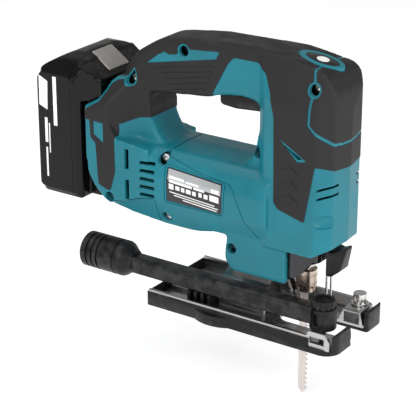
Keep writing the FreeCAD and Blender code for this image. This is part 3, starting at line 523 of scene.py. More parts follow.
# %% [markdown]
# ## The housing as one sculpted form
#
# The clamshell flows from a D-shaped handle into a motor barrel, a gear nose and a leg.
# Each is a simple block here: an outline in side view, some of them trimmed by a plan or a
# section. The handle is sanded first and hardest, because a palm closes round it. Then all
# blocks overlap in one remesh, which fuses them and rounds the creases between them.

# %% The blocks of the housing
HANDLE = [
    (-116, 158), (-116, 176, 8), (-104, 191.5, 16), (-84, 204, 30), (-46, 209.0, 60), (24, 210.2),
    (46, 206), (46, 100), (-60, 100), (-112, 100), (-112, 140),
]
OPENING = [
    (-95, 162, 7), (-93, 146, 12), (-86, 131, 10), (-77, 123, 6), (-9, 123, 8), (-1.5, 131, 8), (4, 158, 6),
    (4.5, 171, 8), (-12, 173, 8), (-30, 170.5, 5), (-40, 167.5, 5),
]
SEAT_LOW = [
    (-140, 148), (-140, 112), (-138, 95, 12), (-132, 85, 8), (-125, 78, 8), (-118, 73.5, 8), (-84, 85.5),
    (-84, 122), (-112, 126), (-124, 148),
]
SEAT_HIGH = [
    (-140, 148), (-140, 118), (-92, 118), (-92, 150), (-96, 171.5), (-119, 171, 3), (-123.5, 167, 4),
    (-125.5, 161, 5), (-129, 154.5, 4),
]
SEAT_LOW_PLAN = [
    (-141, -36), (-118, -36, 20), (-95, -33, 20), (-80, -32.4), (-80, 32.4), (-95, 33, 20),
    (-118, 36, 20), (-141, 36),
]
SEAT_HIGH_PLAN = [
    (-141, -36), (-121, -36, 8), (-103, -19, 10), (-90, -17), (-90, 17), (-103, 19, 10),
    (-121, 36, 8), (-141, 36),
]
SEAT_SECTION = [(-36, 60), (36, 60), (36, 150, 16), (17, 177), (-17, 177), (-36, 150, 16)]
BARREL = [
    (-21, 61, 4), (21, 61, 4), (33, 85.4, 1), (33, 104, 12), (29.8, 116, 10), (22, 123.2, 10),
    (0, 125.6, 20), (-22, 123.2, 10), (-29.8, 116, 10), (-33, 104, 12), (-33, 85.4, 1),
]
BELLY = [
    (-126, 70), (-105, 65, 20), (-75, 61.5, 20), (-60, 60.8, 20), (-45, 62.5, 14), (-30, 66.5), (20, 67),
    (20, 127), (-126, 127),
]
NOSE = [
    (4, -17), (13, -26, 6), (20, -28, 6), (56.6, -28, 1), (66.8, -18.8, 2), (69.2, 0),
    (66.8, 18.8, 2), (56.6, 28, 1), (20, 28, 6), (13, 26, 6), (4, 17),
]
NOSE_SIDE = [
    (4, 67), (54, 67), (69.9, 75), (69.6, 168, 30), (67, 189, 16), (61, 202.4, 9), (24, 210), (4, 210),
]
NOSE_SECTION = [(-29, 60), (29, 60), (29, 176, 26), (17, 211, 9), (-17, 211, 9), (-29, 176, 26)]
LEG = [(-19, 80), (-19, 65), (-21, 49, 8), (-15, 40, 5), (32, 40), (32, 80)]

HANDLE_HALF, SEAT_HALF, WIDE = 17.6, 36, 45
handle = slab("handle", HANDLE, -HANDLE_HALF, HANDLE_HALF, steps=6)
cut(handle, slab("opening", OPENING, -WIDE, WIDE, steps=6))
sanded(handle, 1.9, 18)


def seat_part(name, side, plan):
    """One block of the battery seat, trimmed by its plan and by the section they share."""
    obj = kept(slab(name, side, -SEAT_HALF, SEAT_HALF), slab(name + "_plan", plan, 60, 200, "plan"))
    return kept(obj, slab(name + "_section", SEAT_SECTION, -150, -60, "front"))


seat_low = seat_part("seat_low", SEAT_LOW, SEAT_LOW_PLAN)
seat_high = seat_part("seat_high", SEAT_HIGH, SEAT_HIGH_PLAN)
barrel = slab("barrel", BARREL, -125, 20, "front", steps=8)
kept(barrel, slab("belly", BELLY, -50, 50))
nose = kept(slab("nose", NOSE, 60, 215, "plan"), slab("nose_side", NOSE_SIDE, -40, 40))
kept(nose, slab("nose_section", NOSE_SECTION, -10, 80, "front"))
leg = slab("leg", LEG, -25, 25)
body = joined("body", handle, seat_low, seat_high, barrel, nose, leg)
sanded(body, 1.15, 7)
print("body:", len(body.data.polygons), "faces")

# %% [markdown]
# ## A wall, a hollow and the openings in it
#
# A moulded housing is a thin wall round its machinery. Here the hollow is the same form,
# moved inwards and skinned again. The holes for screws, air, lamp, blade and
# battery are cutters made from small outlines, joined and cut in one go.

# %% Hollow the form
WALL, LINE_DEPTH, RUBBER_RISE = 2.8, 0.55, 0.45
hollow = grown(body, "hollow", -WALL)
sanded(hollow, 2.2, 4)
core = grown(body, "core", -LINE_DEPTH)
skin = grown(body, "skin", RUBBER_RISE)
cut(body, hollow)
print("walled body:", len(body.data.polygons), "faces")

# %% The holes
WELLS = [
    ("rear", -118, 79, 36), ("leg", -14, 57.5, 25), ("grip", -61, 199, 17), ("crown", 52.6, 191.5, 24),
]
DROPS = [
    ("barrel", -72.5, 116.5, 31, 4.3, (4.6, 7.6)), ("under", -72.5, 70, 28, 3.8, (5.2, -2.2)),
    ("seat", -107, 170, 21, 3.6, (1.5, 8.0)), ("throat", 3, 133, 17, 3.4, (1.0, 7.5)),
]


def wells(name, extra, depth):
    """Cutters for the screw recesses of the right half, a little larger by extra."""
    cutters = []
    for label, x, z, half in WELLS:
        outline = ring_points(x, z, 4.1 + extra)
        cutters.append(slab(label, outline, -half - 12, -half + depth))
    for label, x, z, half, radius, tip in DROPS:
        reach = 1 + extra / 8
        outline = drop_points(x, z, radius + extra, (tip[0] * reach, tip[1] * reach))
        cutters.append(slab(label, outline, -half - 12, -half + depth))
    return joined(name, *cutters)


def vents():
    """Cutters for the air slots in both flanks and in the slanted nose faces."""
    cutters = []
    for side in (-1, 1):
        reach = (-42, -26) if side < 0 else (26, 42)
        for low in (79.5, 104):
            cutters.append(block("vent_tall", (-104.2, -100.8), reach, (low, low + 16)))
        for i in range(5):
            z = 86.5 + 6.3 * i
            slant = [(-92, z - 1.6), (-78, z - 1.2), (-78, z + 1.6), (-91, z + 1.2)]
            cutters.append(slab("vent_wide", slant, *reach))
        for i in range(2):
            z = 111.5 + 6.6 * i
            slant = [(57.5, z), (67.6, z + 3.0), (67.6, z + 4.8), (57.5, z + 2.0)]
            cutters.append(slab("vent_nose", slant, *sorted((side * 9, side * 33))))
    return joined("vents", *cutters)


recesses = wells("recesses", 0, 10)
cut(body, duplicate(recesses, "recesses_body"))


def open_rails(obj):
    """Cut the slot that the battery's rails slide down."""
    cut(obj, block("rail_slot", (-141, -133.8), (-27, 27), (60, 240)))
    cut(obj, block("rail_flange", (-134, -127.6), (-30.4, 30.4), (60, 240)))


def open_trigger(obj):
    cut(obj, block("trigger_window", (-37.5, 4.5), (-9, 9), (150, 176)))


open_rails(body)
cut(body, block("contact_window", (-130, -117), (-16, 16), (94, 114)))
open_trigger(body)
cut(body, slab("nose_mouth", [(27, -22, 6), (56, -22, 6), (56, 22, 6), (27, 22, 6)], 60, 78, "plan"))
cut(body, block("leg_mouth", (4, 36), (-21, 21), (39, 70)))
cut(body, vents())
print("body with holes:", len(body.data.polygons), "faces")

# %% [markdown]
# ## Seams and recessed lines
#
# Fine lines tell the eye where one moulding ends. Each line is a narrow ribbon
# seen from the side; cutting the slightly smaller core away from it leaves only a shallow
# strip at the surface, which is then cut from the body.

# %% Cut the fine lines
LINES = [
    [(-68, 119.5), (-40, 114.2), (-12, 110.5), (-8.5, 107), (-4, 97), (2, 84), (10, 72)],
    [(-71.5, 121), (-66, 126.5), (-62, 131)],
    [(-78.5, 84), (-79.5, 64)],
    [(-117, 76.5), (-104, 77.5), (-92, 82.5), (-78.5, 84.8)],
]
lines = joined("lines", *[slab("line", ribbon(line, 0.7), -45, 45) for line in LINES])
EDGE_OUTSIDE = [(-69, 84.6, 3), (-16, 84.6, 3), (-14.6, 111, 3), (-69.2, 115.2, 3)]
EDGE_INSIDE = [(-68, 85.6, 2.6), (-17, 85.6, 2.6), (-15.8, 110, 2.6), (-68.2, 114.2, 2.6)]
plate_edge = slab("plate_edge", EDGE_OUTSIDE, -45, -20)
cut(plate_edge, slab("plate_field", EDGE_INSIDE, -46, -19))
lines = joined("lines", lines, plate_edge)
cut(lines, duplicate(core, "core_lines"))
cut(body, lines)
PLATE_POCKET = [(-67.2, 86.2, 1), (-17.6, 86.0, 1), (-17.6, 109.7, 1), (-67.2, 113.0, 1)]
pocket = slab("plate_pocket", PLATE_POCKET, -45, -20)
cut(pocket, duplicate(core, "core_pocket"))
cut(body, pocket)
triangle = [(26.4, 153.6), (50.6, 139.8, 1), (42.4, 138, 1)]
window = [(29.5, 149.8), (46.8, 140.9), (42.6, 139.9)]
for low, high in ((-40, -22), (22, 40)):
    cut(body, slab("side_window", window, low, high))
SCOOP_CENTRE = Vector((62.6, -22.8, 95)) * MM
SCOOP_TURN = math.radians(42)
bpy.ops.mesh.primitive_uv_sphere_add(
    segments=40, ring_count=20, radius=MM, location=SCOOP_CENTRE, rotation=(0, 0, SCOOP_TURN)
)
scoop = bpy.context.object
scoop.scale = (9.5, 2.6, 5.2)
bpy.ops.object.transform_apply(location=True, rotation=True, scale=True)
cut(body, scoop)
print("lined body:", len(body.data.polygons), "faces")

# %% [markdown]
# ## The soft overmould
#
# Black rubber is moulded over the hard shell: over the handle, down the rear column and
# round the nose. It is the same form grown by half a millimetre, kept only inside
# a zone drawn in side view, with the core taken out so that it is a skin of its own.
# Teal lines show where channels are left open in the rubber.

# %% Grow the skin and trim it to its zone
GRIP = [
    (-160, 139), (-111.5, 136.6), (-100, 141.5), (-83, 143.6), (-71, 149), (-60, 158), (-60, 160.5),
    (-42, 163), (-36.8, 170), (-23, 195.5, 3), (-18, 201.5, 6), (3, 201.5, 8), (12, 196.5, 8),
    (18.5, 184, 8), (22.5, 168, 8), (23.6, 104, 2), (27, 99.5, 2), (48.8, 93.6, 1), (56.6, 136.8),
    (61, 136), (66.8, 134), (69, 132.6),
    (90, 132.6), (90, 232), (-160, 232),
]
SHOULDER = [
    (-150, 137), (-138.4, 145.8), (-127, 153.2), (-123.2, 160.6), (-121.2, 165.6), (-117.4, 168.8),
    (-104.5, 172.2), (-104.5, 184), (-150, 184),
]
LINE_WIDTH = 2.2
TEAL_LINE = [
    (49.2, 210), (51.3, 200), (52.6, 191.5), (51.6, 182), (50.8, 166.5), (56.6, 161.3), (66.8, 153),
    (69, 151.5), (76, 151.5),
]
rubber = kept(skin, slab("grip_zone", GRIP, -50, 50))
PAD = [
    (-135.5, 143.5, 1), (-113.2, 154.6, 1), (-112.4, 100), (-117, 83.5, 3), (-128, 87.6, 3),
    (-130, 120), (-134.4, 124),
]
pads = kept(grown(core, "pads", 0.75), slab("pad_zone", PAD, -50, 50))
for low, high in ((-50, -18.2), (18.2, 50)):
    cut(rubber, slab("shoulder", SHOULDER, low, high))
cut(rubber, duplicate(core, "core_rubber"))
cut(pads, duplicate(core, "core_pads"))
print("rubber skin:", len(rubber.data.polygons), "faces")

# %% Open the channels, patches and holes in the rubber
STRIP = [
    (-94.5, 184.6), (-84.5, 192.4, 4), (-78, 196.0, 2), (-74.2, 194.4), (-68, 195.4), (-60, 200.8),
    (-29.6, 203.6, 1), (-33, 197.4, 1), (-61, 191.6), (-78, 188.0),
]
for low, high in ((-60, -11), (11, 60)):
    cut(rubber, slab("channel", ribbon(TEAL_LINE, LINE_WIDTH), low, high))
    cut(rubber, slab("strip", STRIP, low, high))
    cut(rubber, slab("triangle", triangle, low, high))
    cut(rubber, slab("crown_ring", ring_points(52.6, 191.5, 5.6), low, high))
    cut(rubber, slab("grip_ring", ring_points(-61, 199, 5.6), low, high))
cut(rubber, slab("front_band", ribbon([(62, 151.5), (76, 151.5)], LINE_WIDTH), -12, 12))
cut(rubber, slab("seat_ring", drop_points(-107, 170, 4.8, (1.8, 10)), -60, -12))
open_trigger(rubber)
open_rails(rubber)
badge_hollow = slab("badge_hollow", ring_points(0, 0, 18.6, 32, 0.63), -6, 6, "plan")
only(badge_hollow)
BADGE_CENTRE = Vector((44.0, 0, 205.75)) * MM
slope = Matrix.Translation(BADGE_CENTRE) @ Matrix.Rotation(math.radians(10.85), 4, "Y")
badge_hollow.data.transform(slope)
cut(rubber, badge_hollow)
cut(rubber, recesses)
pad_window = [(-131.4, 140.2), (-122.6, 144.4), (-122.6, 121.6), (-131.4, 127)]
cut(pads, slab("pad_window", pad_window, -60, 60))
print("trimmed rubber:", len(rubber.data.polygons), "faces")

# %% Ribs on the grip and chevrons on the nose flank
ribs = []
for k in range(5):
    x0, x1 = -88.5 + 4.2 * k, -34.5 - 2.2 * k
    z0 = 181.6 - 4.3 * k + 0.2 * (x0 + 88.5)
    z1 = 181.6 - 4.3 * k + 0.2 * (x1 + 88.5)
    ribs.append([(x0, z0), (x1, z1), (x1 - 1.4, z1 - 2.7), (x0 + 2.6, z0 - 2.7)])
for k in range(3):
    z = 130.0 - 10.5 * k
    lower = [(29.5, z - 2.5), (37, z + 1.2), (43, z - 2.8)]
    upper = [(43, z - 1.2), (37, z + 3.4), (29.5, z - 0.6)]
    ribs.append(lower + upper)
forms = [slab("rib", outline, low, high) for outline in ribs for low, high in ((-50, -8), (8, 50))]
rib_zone = joined("rib_zone", *forms)
ridges = kept(grown(rubber, "ridges", 0.4), rib_zone)
print("ribs:", len(ridges.data.polygons), "faces")

# %% [markdown]
# ## Two halves that meet in the middle
#
# The shell is two mouldings, screwed together. Each form is cut by a box on either
# side of the middle plane, a tenth of a millimetre short of it, which leaves the fine dark
# seam over the handle and down the nose.

# %% Split into right and left
SEAM = 0.12
for side, low, high in (("right", -60, -SEAM), ("left", SEAM, 60)):
    for form, label, slot, replaced in (
        (body, "housing", "teal_plastic", True), (rubber, "grip", "black_rubber", True),
        (pads, "rear_pad", "black_rubber", True), (ridges, "grip_ribs", "black_rubber", False),
    ):
        half = duplicate(form, f"{label}_{side}_shell")
        kept(half, block("side", (-230, 130), (low, high), (20, 260)))
        if replaced:
            hand_over(half, "housing", slot, f"{label}_{side}")
        else:
            hand_over(half, "housing", slot)
for form in (body, rubber, pads, ridges):
    bpy.data.objects.remove(form)

# %% [markdown]
# ## The rating plate and its plain print
#
# The plate is thin metal with a silver head and a black field. Its print is generic: bars
# and squares stand where a maker would put words. The print is made of thin skins that
# follow the curve of the barrel, so it keeps its place on the plate without any image.

# %% Print the plate
def printed(name, colour, rough):
    """A flat ink or foil, with only a trace of grain."""
    return finish(name, colour, rough, scale=1800, depth=0.05, dusty=0.0, spread=0.03)


printed("label_print", (0.012, 0.009, 0.013), 0.34)
printed("white_ink", (0.78, 0.78, 0.77), 0.42)
finish("silver_foil", (0.42, 0.43, 0.44), 0.36, metal=0.6, scale=1200, depth=0.05, dusty=0.0)


def inked(obj, body, slot, ink):
    """Hand over a printed piece that shares its slot but has its own ink."""
    hand_over(obj, body, slot)
    obj.data.materials[0] = finishes[ink]
    return obj


PLATE = [(-66.7, 86.7, 1.2), (-18.1, 86.5, 1.2), (-18.1, 109.2, 1.2), (-66.7, 112.5, 1.2)]
HEAD = [(-65.9, 103.6), (-18.9, 100.4), (-18.9, 108.4, 0.8), (-65.9, 111.7, 0.8)]


def wrapped(name, height, *zones):
    """A thin skin that follows the curve of the barrel inside zones drawn in side view."""
    strip = kept(grown(core, name, height), joined(name + "_zone", *zones))
    return cut(strip, duplicate(core, "core_" + name))


plate = wrapped("plate", 0.35, slab("plate_side", PLATE, -45, -20))
hand_over(plate, "housing", "label_print", "rating_plate")
head = wrapped("plate_head", 0.43, slab("head_side", HEAD, -45, -20))
inked(head, "housing", "label_print", "silver_foil")


def bar(x0, x1, z, tall):
    """A bar of print that follows the slope of the plate's top edge."""
    lean = -0.068
    z0, z1 = z + lean * (x0 + 66), z + lean * (x1 + 66)
    return slab("bar", [(x0, z0), (x1, z1), (x1, z1 + tall), (x0, z0 + tall)], -45, -20)


BARS = [
    (-64.5, -51, 105.0, 2.0), (-49.5, -38, 105.0, 1.4), (-64.5, -44, 101.9, 1.8), (-42.5, -33, 102.1, 1.8),
    (-27, -20.5, 104.0, 3.0), (-64.6, -60.4, 96.6, 4.2), (-58.6, -55, 97.2, 3.2), (-53.6, -50.6, 97.2, 3.2),
    (-49.2, -45, 97.2, 3.2), (-43.6, -40.4, 97.2, 3.2), (-38, -35.2, 97.6, 3.4), (-33.4, -30, 97.6, 3.4),
    (-28.4, -20.4, 97.4, 4.6), (-64, -24, 94.0, 0.7), (-60, -21, 92.2, 0.7), (-52, -22, 90.4, 0.7),
]
inked(wrapped("plate_print", 0.5, *[bar(*row) for row in BARS]), "housing", "label_print", "white_ink")
bpy.data.objects.remove(core)

# %% [markdown]
# ## The badge on the crown
#
# An oval teal ring frames a black oval with a pale round mark. The pieces are drawn flat,
# bevelled, and then laid on the slope of the nose, with the place applied to the mesh.

# %% Lay the badge on its slope
def laid(obj, matrix):
    """Move a flat piece to its place and apply that place to the mesh."""
    obj.matrix_world = matrix @ obj.matrix_world
    only(obj)
    bpy.ops.object.transform_apply(location=True, rotation=True, scale=True)
    return obj


ring = bevelled(slab("badge_frame", ring_points(0, 0, 17.9, 40, 0.61), -2.2, 1.1, "plan"), 0.7)
cut(ring, slab("badge_well", ring_points(0.6, 0, 13.4, 40, 0.56), 0.2, 4, "plan"))
oval = bevelled(slab("badge_oval", ring_points(0.6, 0, 13.2, 40, 0.56), -1, 1.0, "plan"), 0.6, 4)
mark = slab("badge_mark", ring_points(0.8, 0, 4.6, 28, 0.92), 0.6, 1.3, "plan")
cut(mark, slab("mark_ring", ring_points(0.8, 0, 3.6, 24, 0.92), 1.1, 3, "plan"))
dot = slab("mark_dot", ring_points(0.8, 0, 2.2, 20, 0.92), 0.8, 1.35, "plan")
hand_over(laid(ring, slope), "housing", "teal_plastic")
hand_over(laid(oval, slope), "housing", "gloss_black", "nose_badge")
inked(laid(joined("badge_mark", mark, dot), slope), "housing", "gloss_black", "white_ink")

# %% [markdown]
# ## The slide battery
#
# The pack is a tall glossy tub with raised flanks, closed by a cover whose rails slide down
# into the seat. A wide shoulder sits over the rails, and a grey release button lies in a
# pocket on the slope. Blocks are overlapped, remeshed finely and smoothed a little.

# %% Shape the pack
PACK = [
    (-185, 71, 8), (-185, 170, 18), (-161, 183.6, 14), (-151.5, 183.4, 5), (-143.8, 179.6, 1),
    (-143.8, 71, 3),
]
PACK_PLAN = [(-185, -36.7, 9), (-143.8, -36.7, 4), (-143.8, 36.7, 4), (-185, 36.7, 9)]
PACK_SECTION = [
    (-36.7, 70, 5), (36.7, 70, 5), (36.7, 170, 10), (30, 181, 10), (12, 185), (-12, 185), (-30, 181, 10),
    (-36.7, 170, 10),
]
PANEL = [(-184.4, 74.5, 6), (-184.4, 169.5, 10), (-148.6, 168.2, 7), (-147.4, 74.5, 4)]
SHOULDER_SIDE = [
    (-146, 149.6), (-139.4, 150.6), (-130.4, 153.8, 2), (-128.5, 158, 2), (-128.5, 167.5, 3),
    (-135, 172, 2), (-144, 178.8, 2), (-146, 180),
]
pack = kept(slab("pack", PACK, -36.7, 36.7, steps=6), slab("pack_plan", PACK_PLAN, 60, 200, "plan", 6))
kept(pack, slab("pack_section", PACK_SECTION, -200, -120, "front", 6))
panels = [slab("panel", PANEL, low, high, steps=6) for low, high in ((-37.5, -34), (34, 37.5))]
SHOULDER_PLAN = [(-150, -33.6), (-128.4, -33.6, 11), (-128.4, 33.6, 11), (-150, 33.6)]
shoulder = kept(
    slab("shoulder", SHOULDER_SIDE, -33.6, 33.6),
    slab("shoulder_plan", SHOULDER_PLAN, 140, 200, "plan", 6),
)
rails = [
    block("rail_neck", (-146, -133), (-26.3, 26.3), (73, 171)),
    block("rail_head", (-133.5, -128.3), (-29.8, 29.8), (78, 166)),
]
pack = joined("pack", pack, *panels, shoulder, *rails)
sanded(pack, 0.85, 4)
BUTTON_CORNER = Vector((-150, 0, 182.6)) * MM
BUTTON = Matrix.Translation(BUTTON_CORNER) @ Matrix.Rotation(math.radians(34.44), 4, "Y")
POCKET = [(-0.5, -12.9, 1), (21.7, -12.9, 1), (21.7, 12.9, 1), (-0.5, 12.9, 1)]
cut(pack, laid(slab("button_pocket", POCKET, -4.6, 20, "plan"), BUTTON))
for y in (-12, 12):
    cut(pack, block("contact_slot", (-140, -120), (y - 1.3, y + 1.3), (60, 116)))
cavity = block("cell_space", (-182.6, -145.8), (-34.6, 34.6), (73.6, 168))
cut(pack, cavity)
print("pack:", len(pack.data.polygons), "faces")

# %% Part the tub from its cover, and add the button
tub = kept(duplicate(pack, "battery_tub_shell"), block("rear_side", (-230, -152.15), (-60, 60), (40, 220)))
cover = kept(pack, block("front_side", (-151.85, -100), (-60, 60), (40, 220)))
cover.name = "battery_cover_shell"
hand_over(tub, "battery", "gloss_black", "battery_tub")
hand_over(cover, "battery", "gloss_black", "battery_cover")
button = slab("button", [(0, -12.5, 2), (21, -12.5, 2), (21, 12.5, 2), (0, 12.5, 2)], -4.3, 0.5, "plan")
bevelled(button, 0.9, 4)
hand_over(laid(button, BUTTON), "battery_button", "button_grey", "battery_button")
PRINT_DEPTH = (-37.56, -37.2)
PATCH = [(-182.2, 141.6), (-174.4, 138.6), (-173.6, 161.4), (-182.0, 165.4)]
patch = slab("pack_patch", PATCH, *PRINT_DEPTH)
stripes = [
    slab("stripe", [(x, low), (x + wide, low), (x + wide, high), (x, high)], *PRINT_DEPTH)
    for x, wide, low, high in (
        (-168.6, 3.4, 127, 166), (-177.4, 2.6, 112, 132), (-173.6, 1.0, 104, 128), (-177.0, 1.6, 84, 108),
    )
]
inked(joined("pack_print", patch, *stripes), "battery", "gloss_black", "white_ink")

# %% [markdown]
# ## The base: a steel tray in a plastic shoe
#
# These parts are pressed and moulded to plain shapes that the engineering model already
# has, so a copy of each gets bevelled edges, which catch the light as real ones do.

# %% Soften the base parts
softened("cover_shoe", 0.7, "base", segments=3)
softened("base_plate", 0.3, "base")
softened("bevel_seat", 0.25, "base")
softened("fence_bolt", 0.4, "base", segments=3)
softened("nozzle_clip", 0.4, "base")

# %% [markdown]
# ## The dust nozzle
#
# A round socket with ring grooves takes the hose, a taper leads to a square channel, and
# a boss at the front holds the thumb screw. Round parts are turned: a profile is walked in
# edit mode and spun about its axis, like work on a lathe.

# %% Turn a profile
def turned(name, profile, centre, axis, steps=40):
    """Spin a closed profile of (along, radius) points about an axis through centre."""
    along = Vector({"X": (1, 0, 0), "Z": (0, 0, 1)}[axis])
    out = Vector((0, 0, 1)) if axis == "X" else Vector((1, 0, 0))
    middle = Vector(centre) * MM
    path = [middle + (along * a + out * r) * MM for a, r in profile]
    bpy.ops.object.select_all(action="DESELECT")
    bpy.ops.mesh.primitive_plane_add(size=MM, location=path[0])
    obj = bpy.context.object
    obj.name = name
    edit(obj, "VERT")
    bpy.ops.mesh.merge(type="CENTER")
    for here, there in zip(path, path[1:] + path[:1]):
        bpy.ops.mesh.extrude_region_move(TRANSFORM_OT_translate={"value": there - here})
    bpy.ops.mesh.select_all(action="SELECT")
    bpy.ops.mesh.remove_doubles(threshold=0.001 * MM)
    bpy.ops.mesh.select_all(action="SELECT")
    bpy.ops.mesh.spin(steps=steps, angle=2 * math.pi, center=middle, axis=along)
    bpy.ops.mesh.select_all(action="SELECT")
    bpy.ops.mesh.remove_doubles(threshold=0.004 * MM)
    bpy.ops.mesh.select_all(action="SELECT")
    bpy.ops.mesh.normals_make_consistent(inside=False)
    leave()
    bpy.ops.object.transform_apply(location=True, rotation=True, scale=True)
    return obj


DRUM = [(-145, 11.5), (-145, 13.3), (-144.3, 14)]
for groove in (-139.6, -134.6, -129.6):
    DRUM += [(groove, 14), (groove + 0.3, 13.0), (groove + 1.5, 13.0), (groove + 1.8, 14)]
DRUM += [
    (-114.6, 14), (-114.2, 13.3), (-113.2, 13.3), (-112.8, 14), (-109, 14), (-107, 13.3),
    (-101.5, 9.2), (-100, 8.2), (-100, 5), (-111, 5), (-112, 11.5),
]
drum = turned("drum", DRUM, (0, -27.5, 27), "X")
duct = slab("duct", [(-34, 19, 2), (-21, 19, 2), (-21, 32, 2.4), (-34, 32, 2.4)], -106, 60, "front")
cut(duct, slab("duct_bore", [(-32, 21, 1), (-23, 21, 1), (-23, 30, 1), (-32, 30, 1)], -112, 52, "front"))
cut(duct, block("inlet", (22, 50), (-24, -18), (21.5, 29.5)))
boss = slab("boss", ring_points(64, -23, 10, 40), 14.2, 30.4, "plan")
bevelled(boss, 0.6, 2)
cut(boss, slab("boss_well", ring_points(64, -23, 9.2, 40), 28, 40, "plan"))
cut(boss, slab("boss_hole", ring_points(64, -23, 2.8, 20), 5, 30, "plan"))
cut(boss, block("boss_slot", (61.8, 65.6), (-36, -30.6), (18.5, 28)))
bevelled(duct, 0.25, 1, 60)
hand_over(joined("dust_nozzle_shell", drum, duct, boss), "base", "black_plastic", "dust_nozzle")

# %% The fluted thumb screw
FLUTES = 12
cap = []
for k in range(FLUTES):
    for share, radius in ((0.0, 9.0), (0.3, 8.8), (0.5, 7.9), (0.7, 8.8)):
        a = 2 * math.pi * (k + share) / FLUTES
        cap.append((64 + radius * math.cos(a), -23 + radius * math.sin(a)))
knob = bevelled(slab("knob", cap, 29.9, 37, "plan"), 0.9, 3, 60)
cut(knob, slab("knob_dish", ring_points(64, -23, 5.4, 24), 36.2, 40, "plan"))
stem = turned("stem", [(4.6, 0), (4.6, 2.2), (5.0, 2.5), (30.4, 2.5), (30.4, 0)], (64, -23, 0), "Z", 20)
hand_over(joined("thumb_screw", knob, stem), "nozzle_screw", "black_plastic", "nozzle_screw")

# %% [markdown]
# ## Blade and clamp
#
# The blade is stamped from thin steel: a long outline with milled teeth, given its
# thickness. The clamp above it is a turned sleeve with rings and a slot for the tang.

# %% Make the clamp and the blade
SLEEVE = [
    (27.2, 0), (27.2, 5.6), (28.0, 6.6), (31.0, 6.6), (31.5, 8), (34.6, 8), (34.9, 7.5), (35.8, 7.5),
    (36.1, 8),
    (41.2, 8), (41.5, 7.5), (42.4, 7.5), (42.7, 8), (45.4, 8), (46, 7.4), (46, 0),
]
sleeve = turned("sleeve", SLEEVE, (36, 0, 0), "Z", 48)
cut(sleeve, block("tang_slot", (30.5, 39.3), (-0.75, 0.75), (20, 44)))
for k in range(6):
    a = math.radians(30 + 60 * k)
    spot = (36 + 8.4 * math.cos(a), 8.4 * math.sin(a))
    cut(sleeve, slab("notch", ring_points(*spot, 1.5, 10), 26, 33.6, "plan"))
hand_over(sleeve, "plunger", "clamp_steel", "blade_clamp")

TIP, PITCH, TEETH = -59.0, 4.0, 16
BLADE = [(31.0, 43), (31.0, TIP + 4), (34.5, TIP)]
for k in range(TEETH):
    low = TIP + 5 + PITCH * k
    BLADE += [(38.45, low), (36.5, low + 1.3), (36.7, low + 2.2)]
BLADE += [(37.5, TIP + 6 + PITCH * TEETH), (37.5, 22), (37.0, 43)]
blade = slab("blade_strip", BLADE, -0.55, 0.55)
hand_over(blade, "plunger", "blade_steel", "blade", smooth=20)

# %% [markdown]
# ## Guard, wires and small levers
#
# The chip guard is a smoky clear moulding, so its material passes light. Dark tint and
# a high gloss give it the look of thick polycarbonate.

# %% The smoky clear finish
smoke = bpy.data.materials.new("smoke_clear")
smoke.use_nodes = True
tree = smoke.node_tree
glass = tree.nodes["Principled BSDF"]
glass.inputs["Transmission Weight"].default_value = 0.45
glass.inputs["IOR"].default_value = 1.5
haze = placed(tree, grain, Scale=300)
tint = blended(tree, haze.outputs["Patches"], (0.010, 0.011, 0.013), (0.018, 0.020, 0.024))
tree.links.new(tint, glass.inputs["Base Color"])
tree.links.new(ranged(tree, haze.outputs["Patches"], 0, 1, 0.05, 0.12), glass.inputs["Roughness"])
finishes["smoke_clear"] = smoke
softened("chip_guard", 0.4, "chip_guard")
softened("tool_opener", 0.8, "tool_opener", segments=3)
softened("wire_holder", 0.4, "housing")
softened("lamp_lens", 0.9, "housing", segments=4)
softened("lock_button", 0.9, "lock_button", segments=3)
softened("orbital_lever", 0.6, "orbital_lever", segments=3)

# %% The trigger
TRIGGER = [(-36, 160.9, 4), (-22, 159.7, 14), (3, 161.6, 2), (3, 172), (-36, 172)]
trigger = bevelled(slab("trigger_blade", TRIGGER, -8.3, 8.3, steps=6), 1.6, 4, 50)
stem = block("stem", (-4.4, -2), (-3, 3), (170, 176))
hand_over(joined("trigger_piece", trigger, stem), "trigger", "black_plastic", "trigger")

# %% [markdown]
# ## Everything else keeps its shape
#
# Screws, bearings, gears, motor and cells are already exact, so only their surfaces change.
# Each remaining node takes the finish of its slot.

# %% Paint the remaining nodes
painted = 0
for label, obj in nodes.items():
    if obj.hide_render:
        continue
    obj.data.materials.clear()
    obj.data.materials.append(finishes[slot_of[label]])
    painted += 1
print(painted, "engineering nodes painted")

# %% [markdown]
# ## Floor, light and camera
#
# A product is lit by large soft panels: one broad key from the side that shows the flank,
# one in front for the slanted nose, and a weak one above. The floor is plain and pale, and
# lies just under the tip of the blade.

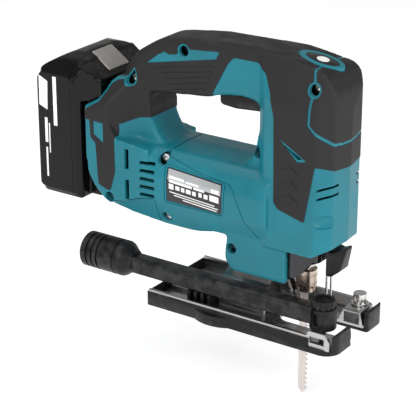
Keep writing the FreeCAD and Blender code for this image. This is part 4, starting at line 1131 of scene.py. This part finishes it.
# %% Build the studio
scene = bpy.context.scene
scene.view_settings.view_transform = "Standard"
FLOOR_HEIGHT, FLOOR_SIZE = -0.0605, 9
FLOOR_GLOW, SKY_STRENGTH = 0.45, 0.42
bpy.ops.object.select_all(action="DESELECT")
bpy.ops.mesh.primitive_plane_add(size=FLOOR_SIZE, location=(0, 0, FLOOR_HEIGHT))
floor = bpy.context.object
floor.name = "floor"
bpy.ops.object.transform_apply(location=True, rotation=True, scale=True)
paper = bpy.data.materials.new("paper")
paper.use_nodes = True
surface = paper.node_tree.nodes["Principled BSDF"]
surface.inputs["Base Color"].default_value = (0.9, 0.9, 0.9, 1)
surface.inputs["Roughness"].default_value = 0.9
surface.inputs["Emission Color"].default_value = (1, 1, 1, 1)
surface.inputs["Emission Strength"].default_value = FLOOR_GLOW
floor.data.materials.append(paper)
floor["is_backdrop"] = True

sky = bpy.data.worlds.new("studio")
scene.world = sky
sky.use_nodes = True
sky.node_tree.nodes["Background"].inputs["Color"].default_value = (1, 1, 1, 1)
sky.node_tree.nodes["Background"].inputs["Strength"].default_value = SKY_STRENGTH

aim = Vector((-0.0518, 0, 0.0727))


def direction(azimuth, elevation):
    a, e = math.radians(azimuth), math.radians(elevation)
    return Vector((math.sin(a) * math.cos(e), -math.cos(a) * math.cos(e), math.sin(e)))


def panel(name, azimuth, elevation, distance, size, power):
    """A soft square light that looks at the saw."""
    data = bpy.data.lights.new(name, "AREA")
    data.size = size
    data.energy = power
    lamp = bpy.data.objects.new(name, data)
    scene.collection.objects.link(lamp)
    way = direction(azimuth, elevation)
    lamp.location = aim + way * distance
    lamp.rotation_euler = (-way).to_track_quat("-Z", "Y").to_euler()
    return lamp


panel("key", 5, 30, 1.3, 0.9, 9)
panel("front", 85, 18, 1.2, 0.8, 8)
panel("top", -60, 70, 1.4, 0.7, 5)

camera_data = bpy.data.cameras.new("camera")
CAMERA_LENS, CAMERA_DISTANCE = 140.2, 1.2275
CAMERA_AZIMUTH, CAMERA_ELEVATION = 34.09, 22.22
camera_data.lens = CAMERA_LENS
camera_data.sensor_width = 36
camera_data.clip_start = 0.05
camera = bpy.data.objects.new("camera", camera_data)
scene.collection.objects.link(camera)
view = direction(CAMERA_AZIMUTH, CAMERA_ELEVATION)
camera.location = aim + view * CAMERA_DISTANCE
camera.rotation_euler = (-view).to_track_quat("-Z", "Y").to_euler()
scene.camera = camera

# %% [markdown]
# ## Measure the size
#
# The overall size of the engineering model and of the finished model are printed, one after the other.
# The finished model must stay inside the engineering model's box.

# %% Measure and finish
boxes = [[list(corner) for corner in pair] for pair in (cad_box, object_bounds())]
print("overall, before and after, in mm:")
for low, high in boxes:
    print([round((b - a) / MM, 1) for a, b in zip(low, high)])
